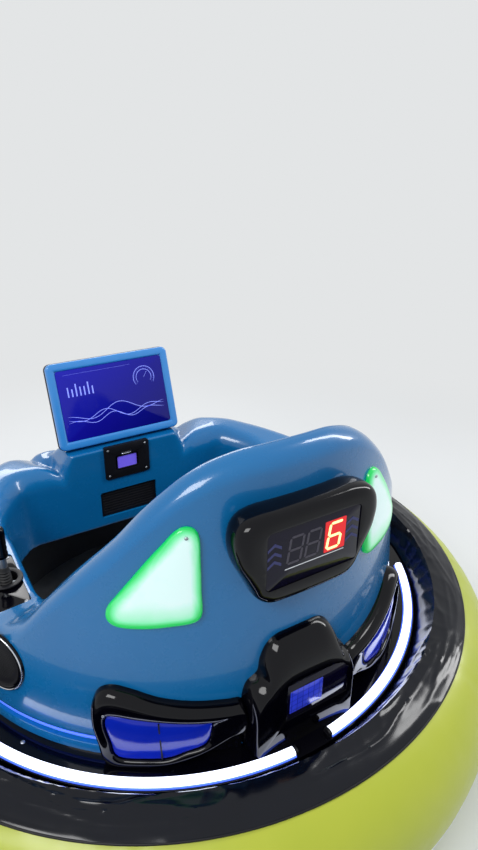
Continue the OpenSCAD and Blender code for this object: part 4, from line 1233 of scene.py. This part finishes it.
panel = dashBox("dashPanel", dash["panel"], 0, -6, 4.6, 7)
cutAway(panel, dashBox("windowCut", dash["window"], 0, 1.6, 20, 4))
settle(softened(panel, 0.9), blackSatin, ("dash_panel",))
settle(cutAway(dashBox("dashWindowRim", dash["window"], -4, 4.2, 5, 6),
               dashBox("rimCut", dash["window"], 1, 0, 20, 4)), blackGloss)
settle(dashBox("dashWindow", dash["window"], 0.3, 0.8, 2.6, 3.8), violetGlow)
settle(cutAway(dashBox("cardSlot", dash["slot"], 0, 4.2, 5, 1.5),
               dashBox("slotCut", dash["slotGap"], 0, 3, 9, 0.8)), chrome)
places = [((x, -shell["dashY"] + 4.4, z), (0, 1, 0)) for x in dash["screwX"] for z in dash["screwZ"]]
settleCopies("dashScrews", smallScrew, places)
deep, (z0, z1) = console["pocketDeep"], console["pocketZ"]
pocket = dashBox("pocketPanel", pocketArea, 1, 0.3 - deep, 5.6 - deep, 5)
cutAway(pocket, *[dashBox("rib", (pocketArea[0] + 8, pocketArea[1] - 8, z, z + 3), 0, 4.6 - deep, 0, 1.2)
                  for z in range(z0 + 12, z1 - 10, 9)])
settle(softened(pocket, 0.6), blackSatin, ("pocket_panel",))
print("console panels")


# Loudspeakers in the armrests' flanks: rolled rim, chrome ring and a dome with its holes drawn as discs of
# painted shade
speaker = {
    "angle": 62, "z": 503,
    "rim": [(64.6, 0.6), (64.8, 4), (64, 5.8), (61.5, 6.7), (58.5, 6.7), (56, 5.6), (54, 3.6)],
    "dome": [(54.5, 1.0), (54, 2.6), (46, 3.2), (36, 3.9), (24, 4.6), (12, 5.0), (2, 5.1)], "skirt": 3.4,
    "ring": (62.2, 6.2, 1.7), "holeStep": 5.4, "holeReach": 48, "hole": 1.7,
}
domeCurve = curveThrough(speaker["dome"][::-1])


def onSpeaker(side, u, v, out):
    a, r = radians(speaker["angle"]), skinLine(speaker["z"] + v) + out
    along = sqrt(r * r - u * u)
    x, y = along * sin(a) + u * cos(a), along * cos(a) - u * sin(a)
    return [side * x, y, speaker["z"] + v]


def speakerRing(side, rho, out):
    return [onSpeaker(side, rho * sin(t), rho * cos(t), out) for t in fullTurn(96)]


def beadAlong(name, points, radius):    # round bead along a closed line of points
    curve = bpy.data.curves.new(name, "CURVE")
    curve.dimensions = "3D"
    curve.bevel_depth, curve.bevel_resolution = radius * mm, 3
    spline = curve.splines.new("POLY")
    spline.points.add(len(points) - 1)
    for point, p in zip(spline.points, points):
        point.co = [c * mm for c in p] + [1]
    spline.use_cyclic_u = True
    line = placed(name, curve)
    mesh = meshNow(line)
    bpy.data.objects.remove(line)
    return shadeSmooth(cleanMesh(placed(name, mesh)))


grilleHoleShade = makeFinish("grilleHoleShade", base="#020203", rough=0.8)    # painted shade: matt near-black discs on the dome stand for the holes and the dark inside them
holeShape = loft("holeShape", [roundel(speaker["hole"], z, 8) for z in (-0.3, 0.12)])
for hand, s in sides:
    rim = loft("speakerRim_" + hand, [speakerRing(s, rho, out) for rho, out in speaker["rim"]])
    settle(rim, blackGloss, ("speaker_" + hand,))
    dome = [speakerRing(s, rho, out + speaker["skirt"] * (rho > 50)) for rho, out in speaker["dome"]]
    settle(loft("speakerDome_" + hand, dome), blackSatin)
    rho, out, bead = speaker["ring"]
    settle(beadAlong("speakerChrome_" + hand, speakerRing(s, rho, out), bead), chrome)
    # painted shade: the holes are dark discs laid on the dome, not cut through it
    step, reach = speaker["holeStep"], speaker["holeReach"]
    grid = [((i + (j % 2) / 2) * step, j * step * 0.866) for j in range(-11, 12) for i in range(-10, 11)]
    places = facingOut([onSpeaker(s, u, v, float(domeCurve(hypot(u, v)))) for u, v in grid
                        if hypot(u, v) < reach])
    settle(copies("speakerHoles_" + hand, holeShape, places, grilleHoleShade), None)
print("loudspeakers")


# Side vents: a slanted frame with louvres, laid on the body's side
vent = {
    "low": (83, 92), "high": (75, 84), "z": (402, 512), "wide": 90, "tall": 112, "corner": 8,
    "rim": ((0.5, 0.6), (0.5, 3.6), (1.6, 4.7), (6, 4.8), (7.5, 4.2), (8.5, 2.4), (8.5, 1.2), (0.5, 0.6)),
    "slats": (0.13, 0.87, 8), "slatEnds": (0.09, 0.91, 13),
    "slat": ((-0.035, 1.2), (-0.028, 4.3), (-0.02, 4.6), (0.03, 1.6)),
}


def onVent(side, u, v, out):    # shares of the vent's width and height
    low, high, z = (a + (b - a) * share
                    for (a, b), share in ((vent["low"], u), (vent["high"], u), (vent["z"], v)))
    return onSide(side * (low + (high - low) * v), z, out)


def ventLoop(side, inset, out):
    wide, tall = vent["wide"], vent["tall"]
    return [onVent(side, 0.5 + x / wide, 0.5 + y / tall, out)
            for x, y in rounded(wide / 2 - inset, tall / 2 - inset, vent["corner"], 6)]


for hand, s in sides:
    parts = [loft("rim", [ventLoop(s, inset, out) for inset, out in vent["rim"]], False, False)]
    parts.append(loft("floor", [ventLoop(s, 7, out) for out in (0.6, 1.5)]))
    for v in np.linspace(*vent["slats"]):
        parts.append(loft("slat", [[onVent(s, u, v + dv, out) for dv, out in vent["slat"]]
                                         for u in np.linspace(*vent["slatEnds"])]))
    settle(joined("sideVent_" + hand, parts), blackSatin, ("side_vent_" + hand,))
print("side vents")


# Lever stations: tray, cup and rim let into the arm, and on each side a lever on its cross pin
lever = {
    "pivotZ": 526, "trayLow": 534.3, "trayTop": 538.3,
    "screws": ((416, -10), (510, -9), (507, 78), (486, 164), (416, 165)),
    "cup": [(33.7, 480.3), (33.7, 540), (37.6, 540.4), (38, 541), (38, 542.8), (37, 544), (35, 544.2),
            (28, 544.2), (26.4, 543.6), (26, 542.5), (26, 488)],
    "grip": [(10.5, 74), (13.6, 75), (14.8, 78), (14.6, 84), (13.4, 90), (14.4, 97), (13.5, 104),
             (14.5, 111), (13.7, 118), (14.6, 125), (14.9, 132), (14.6, 140), (13.2, 145.5), (10, 148.6),
             (5, 149.8), (0.5, 150)],
    "boot": [(14.2, 6), (14.8, 10), (12.8, 13), (14.4, 17), (12.2, 20), (13.8, 24), (11.7, 27), (13.2, 31),
             (11.2, 34), (12.6, 38), (10.6, 41), (11.0, 47), (9.8, 49)],
    "stem": [(8.6, -9), (9, -8), (9, 74.5)], "pin": [(3.4, -32), (4, -31.4), (4, 31.4), (3.4, 32)],
}


def turnedPiece(name, outline, steps=64):    # revolved about Z, its ends closed
    return loft(name, [roundel(r, z, steps) for r, z in outline])


bootRubber = makeFinish("bootRubber",    # moulded rubber bellows
    base="#0E0E10", tint="#161618", mottle=30, rough=0.6, spread=0.15, grain=(1.2, 0.04))
for hand, s in sides:
    cupX, cupY = s * pods["lever"][0], pods["lever"][1]
    tray = prism("leverTray_" + hand, trayOutline(0), lever["trayLow"], lever["trayTop"], s)
    cutAway(tray, prism("trayHole", roundel(pods["cup"] - 0.3, 0, 64, s * cupX, cupY), 500, 560, s))
    settle(softened(tray, 1.2), blackGloss, ("lever_base_" + hand,))
    settle(moved(turnedPiece("leverCup_" + hand, lever["cup"]), cupX, cupY, 0), blackSatin)
    places = [((s * x, y, lever["trayTop"] - 0.1), (0, 0, 1)) for x, y in lever["screws"]]
    settleCopies("trayScrews_" + hand, panelScrew, places)
    pivot = cupX, cupY, lever["pivotZ"]
    stickBody = "stick_" + hand
    pin = moved(turnedPiece("leverPin", lever["pin"], 32), 0, 0, 0, Matrix.Rotation(pi / 2, 4, "Y"))
    stick = joined("leverStem_" + hand, [turnedPiece("stem", lever["stem"], 32), pin])
    settle(moved(stick, *pivot), zincSteel, ("lever_" + hand,), body=stickBody)
    for name, part, finish in (("leverGrip_", "grip", blackGloss), ("leverBoot_", "boot", bootRubber)):
        piece = moved(turnedPiece(name + hand, lever[part]), *pivot)
        settle(shadeSmooth(piece), finish, body=stickBody)
print("levers")


# Cushions: a smaller start shape is swollen by cloth under pressure, then seams and stitches are laid on it
cushion = {
    "voxel": 6, "pressure": 4.0, "frames": 20, "cap": 13, "channel": 5.5, "channelWide": 5, "welt": 3.4,
    "stitch": 7.5, "low": 300.6, "high": 380, "front": -24, "back": 379, "halfX": 279, "backRound": 409,
    "corner": 44, "seatChannel": 96,
    "seatStages": ((34, 2), (16, 8), (11, 20), (10, 36), (11, 50), (17, 62), (36, 69)),
    "padIn": 421.5, "padOut": 482.2, "padFoot": 381.2, "padTop": 799, "padHalfX": 252,
    "padChannel": (84, 560),
    "padLine": [(12, 798), (60, 796), (200, 740), (250, 620), (250, 382), (20, 382)],
    "padStages": ((30, 480), (14, 475), (9, 462), (8, 448), (14, 438), (32, 432)),
    "seatWelt": (177, 352, 240), "padWelt": (380, 26), "above": 450, "seamOff": 7, "seamY": (-8, 372),
    "seamX": (-84, 85),
}


def seatOutline(inset):
    h, r = cushion["halfX"] - inset, cushion["corner"]
    y0, y1 = cushion["front"] + inset, cushion["back"] - inset
    outline = []
    for x, y in rounded(h, (y1 - y0) / 2, r):
        y += (y0 + y1) / 2
        share = min(1, (cushion["backRound"] - inset) / hypot(x, y)) if y > 0 else 1
        outline.append((x * share, y * share))
    return outline


def padOutline(inset):    # its first and last point stay near the middle
    line = [(x if k in (0, 5) else x - inset * 0.9, z - inset if z > 400 else z + inset * 0.4)
            for k, (x, z) in enumerate(cushion["padLine"])]
    return smoothClosed(mirroredHalf(line), 8)


def onPad(x, z, r):
    return [x, sqrt(r * r - x * x), z]


def swollen(start, name):    # remesh, swell under pressure, keep each point within the cap of its start
    addModifier(start, "REMESH", mode="VOXEL", voxel_size=cushion["voxel"] * mm)
    addModifier(start, "SMOOTH", factor=0.5, iterations=3)
    evaluated(start)
    start.name = name
    before = np.array([v.co for v in start.data.vertices])
    cloth = start.modifiers.new("cloth", "CLOTH")
    cloth.settings.use_pressure = True
    cloth.settings.uniform_pressure_force = cushion["pressure"]
    cloth.settings.effector_weights.gravity = 0
    cloth.point_cache.frame_start, cloth.point_cache.frame_end = 1, cushion["frames"]
    for step in range(1, cushion["frames"] + 1):
        scene.frame_set(step)
    mesh = bpy.data.meshes.new_from_object(start.evaluated_get(bpy.context.evaluated_depsgraph_get()))
    after = np.array([v.co for v in mesh.vertices])
    start.modifiers.clear()
    scene.frame_set(1)
    move = after - before
    far = np.linalg.norm(move, axis=1, keepdims=True)
    after = before + move * np.minimum(1, cushion["cap"] * mm / np.maximum(far, 1e-9))
    start.data.vertices.foreach_set("co", after.ravel())
    addModifier(start, "SUBSURF", levels=1, render_levels=1)
    return evaluated(start)


def reshape(thing, rule):    # each point moved by a rule that is given and returns millimetres
    points = np.array([v.co for v in thing.data.vertices]) / mm
    thing.data.vertices.foreach_set("co", (np.array([rule(*p) for p in points]) * mm).ravel())
    thing.data.update()
    return shadeSmooth(thing)


def channels(across, along, at, crossAt):    # two seams along the cushion and one across between them
    def dip(distance):
        return cushion["channel"] * exp(-(distance / cushion["channelWide"]) ** 2)

    return dip(abs(across) - at) + (dip(along - crossAt) if abs(across) < at else 0)


def seatRule(x, y, z):    # held inside the seat's solid, with the channels pressed into its top
    widest, front, reach = cushion["halfX"] + 1, cushion["front"] - 1, cushion["backRound"] + 0.5
    x, y = within(x, -widest, widest), max(front, y)
    far = hypot(x, y)
    if far > reach:
        x, y = x * reach / far, y * reach / far
    at = cushion["seatChannel"]
    dip = channels(x, y, at, at) * within((z - 340) / 25, 0, 1)
    return x, y, max(cushion["low"], min(cushion["high"] + 3, z) - dip)


def padRule(x, y, z):    # the same for the back's pad, where the channels go outwards
    r = hypot(x, y)
    r += channels(x, z, *cushion["padChannel"]) * within((460 - r) / 20, 0, 1)
    r = within(r, cushion["padIn"], cushion["padOut"])
    x = within(x, -cushion["padHalfX"], cushion["padHalfX"])
    return x, sqrt(r * r - x * x), within(z, cushion["padFoot"], cushion["padTop"])


seatStart = loft("seatStart", [[[x, y, 300 + z] for x, y in seatOutline(inset)]
                                     for inset, z in cushion["seatStages"]])
seat = reshape(swollen(seatStart, "seatCushion"), seatRule)
padStart = loft("padStart", [[onPad(x, z, r) for x, z in padOutline(inset)]
                                   for inset, r in cushion["padStages"]])
pad = reshape(swollen(padStart, "backCushion"), padRule)
settle(seat, seatVinyl, ("seat_cushion",))
settle(pad, seatVinyl, ("back_cushion",))


def surfaceOf(thing):
    work = bmesh.new()
    work.from_mesh(thing.data)
    search = BVHTree.FromBMesh(work)
    work.free()
    return search


def struck(search, start, way):    # where a line from the start meets the surface, in mm
    hit, normal = search.ray_cast(Vector(start) * mm, Vector(way).normalized())[:2]
    return None if hit is None else ([c / mm for c in hit], tuple(normal))


seatSurface, padSurface = surfaceOf(seat), surfaceOf(pad)
midY, z, count = cushion["seatWelt"]
hits = [struck(seatSurface, (700 * cos(t), midY + 700 * sin(t), z), (-cos(t), -sin(t), 0))
        for t in fullTurn(count)]
settle(beadAlong("seatWelt", [hit[0] for hit in hits if hit], cushion["welt"]), seatVinyl)
inside, inset = cushion["padWelt"]
hits = [struck(padSurface, onPad(x, z, inside), onPad(x / inside, 0, 1)) for x, z in padOutline(inset)]
settle(beadAlong("padWelt", [hit[0] for hit in hits if hit], cushion["welt"] - 0.4), seatVinyl)
thread = makeFinish("thread", base="#2E2E38", tint="#3A3A46", rough=0.7)    # bonded polyester
stitchShape = loft("stitchShape", [[[x, 0.55 * cos(t), 0.25 + 0.5 * sin(t)]
                                          for t in fullTurn(6)] for x in (-2.4, -1.2, 1.2, 2.4)])
seams = [cushion["seatChannel"] + side * cushion["seamOff"] for side in (-1, 1)]
stitches = [(x, y) for x in (-seams[1], -seams[0], *seams)
            for y in np.arange(*cushion["seamY"], cushion["stitch"])]
stitches += [(x, y) for y in seams for x in np.arange(*cushion["seamX"], cushion["stitch"])]
hits = [struck(seatSurface, (x, y, cushion["above"]), (0, 0, -1)) for x, y in stitches]
settle(copies("seatStitches", stitchShape, [hit for hit in hits if hit], thread), None)
print("cushions")


# Running gear: grooved tyres, gear motors, battery case, bolts and the deck's screws
gear = {"wheelX": 330, "wheelR": 100, "wheelW": 50, "tyreT": 22, "grooves": (-13, 0, 13), "grooveW": 4,
        "grooveDeep": 5, "boltCircle": 37, "bolts": 5, "boltFace": 6, "deckScrewR": 592, "casterPlate": 6,
        "casterBolts": (-36, 36)}


def tyreOutline():
    half, r, g, deep = gear["wheelW"] / 2, gear["wheelR"], gear["grooveW"] / 2, gear["grooveDeep"]
    wall = [(gear["tyreT"], 0), (14, 0), (8, 0.5), (3, 3), (0.6, 8)]
    groove = [(0.4, -g - 0.6), (1, -g), (deep, 0.5 - g), (deep, g - 0.5), (1, g), (0.4, g + 0.6)]
    return ([(r - down, into - half) for down, into in wall]
            + [(r - down, x + off) for x in gear["grooves"] for down, off in groove]
            + [(r - down, half - into) for down, into in wall[::-1]])


def onAxis(thing, x, z, way):    # a turned piece laid along X, its end at x and its middle at z
    return moved(thing, x, 0, z, Matrix.Rotation(way * pi / 2, 4, "Y"))


flat = cos(pi / 6)
bolt = loft("boltShape", [roundel(half / flat, z, 6) for half, z in ((5, -1), (5, 4.25), (4.5, 5))])
for hand, s in sides:
    outline = tyreOutline()
    tyre = cleanMesh(onAxis(revolve("tyre_" + hand + "_rubber", outline + [outline[0]], 128),
                            s * gear["wheelX"], gear["wheelR"], 1))
    settle(shadeSmooth(tyre, 35), tyreRubber, ("tyre_" + hand,), body="wheel_" + hand)
    turns = [t + pi / gear["bolts"] for t in fullTurn(gear["bolts"])]
    places = [((s * gear["wheelX"] + face * gear["boltFace"], gear["boltCircle"] * cos(t),
                gear["wheelR"] + gear["boltCircle"] * sin(t)), (face, 0, 0))
              for t in turns for face in (-1, 1)]
    settleCopies("wheelBolts_" + hand, bolt, places, "wheel_" + hand)


def nodeBox(name):    # a CAD node's corners in mm
    points = np.array([nodes[name].matrix_world @ v.co for v in nodes[name].data.vertices]) / mm
    return points.min(axis=0), points.max(axis=0)


motor = {
    "case": (8, 98), "flange": 110, "below": 46, "fins": (17, 89, 9), "finHalf": 2.2, "finDeep": 4,
    "finZ": (-34, 30), "boltY": 36, "boltZ": 24, "bell": [(33, 0), (33, 3), (30, 5), (20, 6), (19, 7.8)],
    "axle": [(9.2, 0), (10, 1), (10, 60), (8.8, 62)],
}
for hand, s in sides:    # ribbed gear case hung under the floor, a flange at the wheel and its axle
    low, high = nodeBox("motor_" + hand)
    x0 = low[0] if s > 0 else high[0]
    mid, bellZ = gear["wheelR"], (low[2] + high[2]) / 2
    caseX, flangeX, outX = (x0 + s * x for x in (*motor["case"], motor["flange"]))
    case = roundedBox("case", (min(caseX, flangeX), low[1] + 1, mid - motor["below"]),
                      (max(caseX, flangeX), high[1] - 1, high[2]), 14, 0)
    cuts, half, finZ = [], motor["finHalf"], motor["finZ"]
    for x in np.linspace(*motor["fins"]):
        for side in (-1, 1):
            faces = sorted(side * (high[1] - 1 + off) for off in (-motor["finDeep"], 1))
            cuts.append(roundedBox("fin", (x0 + s * x - half, faces[0], mid + finZ[0]),
                                   (x0 + s * x + half, faces[1], mid + finZ[1]), 2))
    softened(cutAway(case, joined("finCuts", cuts)), 1.2)
    flange = softened(roundedBox("flange", (min(flangeX, outX), low[1], low[2]),
                                 (max(flangeX, outX), high[1], high[2]), 20, 0), 1)
    axle = turnedPiece("motorAxle_" + hand, motor["axle"], 48)
    bell = onAxis(turnedPiece("bell", motor["bell"]), caseX, bellZ, -s)
    settle(shadeSmooth(joined("motorCase_" + hand, [case, flange, bell]), 40), motorGrey,
           ("motor_" + hand,))
    settle(onAxis(axle, outX, mid, s), zincSteel)
    settleCopies("motorBolts_" + hand, bolt,
                 [((flangeX, y * motor["boltY"], bellZ + z * motor["boltZ"]), (-s, 0, 0))
                  for y in (-1, 1) for z in (-1, 1)])

battery = {"inset": 3, "lidZ": (31, 5), "handle": (60, 11, 6), "ribs": 9, "ribHalf": 3, "ribZ": (10, 45)}
(x0, y0, z0), (x1, y1, z1) = nodeBox("battery_pack")
inset, (lidLow, lidTop), half = battery["inset"], battery["lidZ"], battery["ribHalf"]
handleX, handleY, handleZ = battery["handle"]
middleY = (y0 + y1) / 2
case = roundedBox("case", (x0 + inset, y0 + inset, z0), (x1 - inset, y1 - inset, z1 - lidLow - 1), 12, 2)
lid = roundedBox("lid", (x0, y0, z1 - lidLow), (x1, y1, z1 - lidTop), 14, 2)
handle = roundedBox("handle", (-handleX, middleY - handleY, z1 - handleZ),
                    (handleX, middleY + handleY, z1), 8, 2)
parts = [softened(case, 3), softened(lid, 3), softened(handle, 2.5)]
parts += [roundedBox("rib", (x - half, y0 + 0.6, z0 + battery["ribZ"][0]),
                     (x + half, y0 + 5, z1 - battery["ribZ"][1]), 1.5)
          for x in np.linspace(x0 + 30, x1 - 30, battery["ribs"])]
settle(shadeSmooth(joined("batteryCase", parts), 40), batteryCase, ("battery_pack",))

places = [(turned(a, gear["deckScrewR"], shell["deckTop"] - 0.1), (0, 0, 1))
          for a in np.arange(11, 360, 22.5) if offRear(a) > 40]
settleCopies("deckScrews", panelScrew, places)
places = []
for name in ("caster_base_front", "caster_base_rear"):
    low, high = nodeBox(name)
    middleY = (low[1] + high[1]) / 2
    places += [((x, middleY + y, high[2] - gear["casterPlate"]), (0, 0, -1))
               for x in gear["casterBolts"] for y in gear["casterBolts"]]
settleCopies("casterBolts", bolt, places)
print("running gear")


# Camera, lights and floor
photo = {"at": (0.5835, 1.2899, 1.4358), "look": (-0.473, -0.775, -0.419), "rightward": (-0.853, 0.521, 0.0),
         "roll": 0.011, "focalPixels": 630.2, "longSide": 850}
studio = {
    "backdrop": "#E3E5E6", "floor": ("#D9DBDC", "#E3E5E6"), "sky": "#E9EEF4", "skyLight": 0.42,
    "fade": {"From Min": 1.1, "From Max": 2.9}, "floorHalf": 9000,
    "lamps": {    # place, aim, size and watts
        "keyLight": ((2.6, 1.6, 3.4), (0, 0, 0.4), (2.2, 1.2), 95),
        "rimLight": ((-2.8, 0.8, 2.6), (0, 0, 0.5), (0.5, 2.6), 55),
        "fillLight": ((-0.6, -3.2, 2.6), (0, 0, 0.4), (2.4, 1.4), 60),
    },
}


def photoCamera():
    look = Vector(photo["look"]).normalized()
    rightward = Vector(photo["rightward"]).normalized()
    upward = rightward.cross(look)
    cosRoll, sinRoll = cos(photo["roll"]), sin(photo["roll"])
    right = rightward * cosRoll + upward * sinRoll
    up = upward * cosRoll - rightward * sinRoll
    data = bpy.data.cameras.new("photoCamera")
    data.sensor_width = 36
    data.lens = photo["focalPixels"] / photo["longSide"] * 36
    data.clip_start, data.clip_end = 0.01, 100
    scene.camera = placed("photoCamera", data)
    turn = Matrix((right, up, -look)).transposed().to_4x4()
    scene.camera.matrix_world = Matrix.Translation(photo["at"]) @ turn


def areaLight(name, at, aim, size, watts):
    data = bpy.data.lights.new(name, "AREA")
    data.shape, data.size, data.size_y = "RECTANGLE", size[0], size[1]
    data.energy = watts
    lamp = placed(name, data)
    lamp.location = at
    lamp.rotation_euler = (Vector(aim) - Vector(at)).to_track_quat("-Z", "Y").to_euler()


def seenRay(tree):    # 1 for what the camera sees straight, mirrored or through glass
    rays = addNode(tree, "LightPath").outputs
    straight = counted(tree, "MAXIMUM", rays["Is Camera Ray"], rays["Is Glossy Ray"])
    return counted(tree, "MAXIMUM", straight, rays["Is Transmission Ray"])


def lightUp():
    far = studio["floorHalf"]
    corners = [(-far, -far, 0), (far, -far, 0), (far, far, 0), (-far, far, 0)]
    floor = meshObject("floor", corners, [(0, 1, 2, 3)])
    material, tree, place = newMaterial("floorPale")
    cloud = addNode(tree, "TexNoise", {"Vector": place, "Scale": 1.2, "Detail": 3.0})
    tone = blended(tree, cloud.outputs["Fac"], *studio["floor"])
    shader = addNode(tree, "BsdfPrincipled", {"Base Color": tone, "Roughness": 0.6})
    away = addNode(tree, "VectorMath", {0: place}, operation="LENGTH").outputs["Value"]
    fade = addNode(tree, "MapRange", {"Value": away, **studio["fade"]}, interpolation_type="SMOOTHSTEP")
    share = counted(tree, "MULTIPLY", fade.outputs["Result"], seenRay(tree))
    pale = addNode(tree, "Emission", {"Color": linear(studio["backdrop"]), "Strength": 1.0})
    both = addNode(tree, "MixShader",
                   {0: share, 1: shader.outputs["BSDF"], 2: pale.outputs["Emission"]})
    addNode(tree, "OutputMaterial", {"Surface": both.outputs["Shader"]})
    paint(floor, material)
    world = bpy.data.worlds.new("studio")
    world.use_nodes = True
    tree = world.node_tree
    tree.nodes.clear()
    light = addNode(tree, "Background",
                    {"Color": linear(studio["sky"]), "Strength": studio["skyLight"]})
    pale = addNode(tree, "Background",
                   {"Color": linear(studio["backdrop"]), "Strength": 1.0})
    both = addNode(tree, "MixShader",
                   {0: seenRay(tree), 1: light.outputs["Background"], 2: pale.outputs["Background"]})
    addNode(tree, "OutputWorld", {"Surface": both.outputs["Shader"]})
    scene.world = world
    for name, (at, aim, size, watts) in studio["lamps"].items():
        areaLight(name, at, aim, size, watts)
    scene.view_settings.view_transform = "Standard"


photoCamera()
lightUp()
print("scene ready")
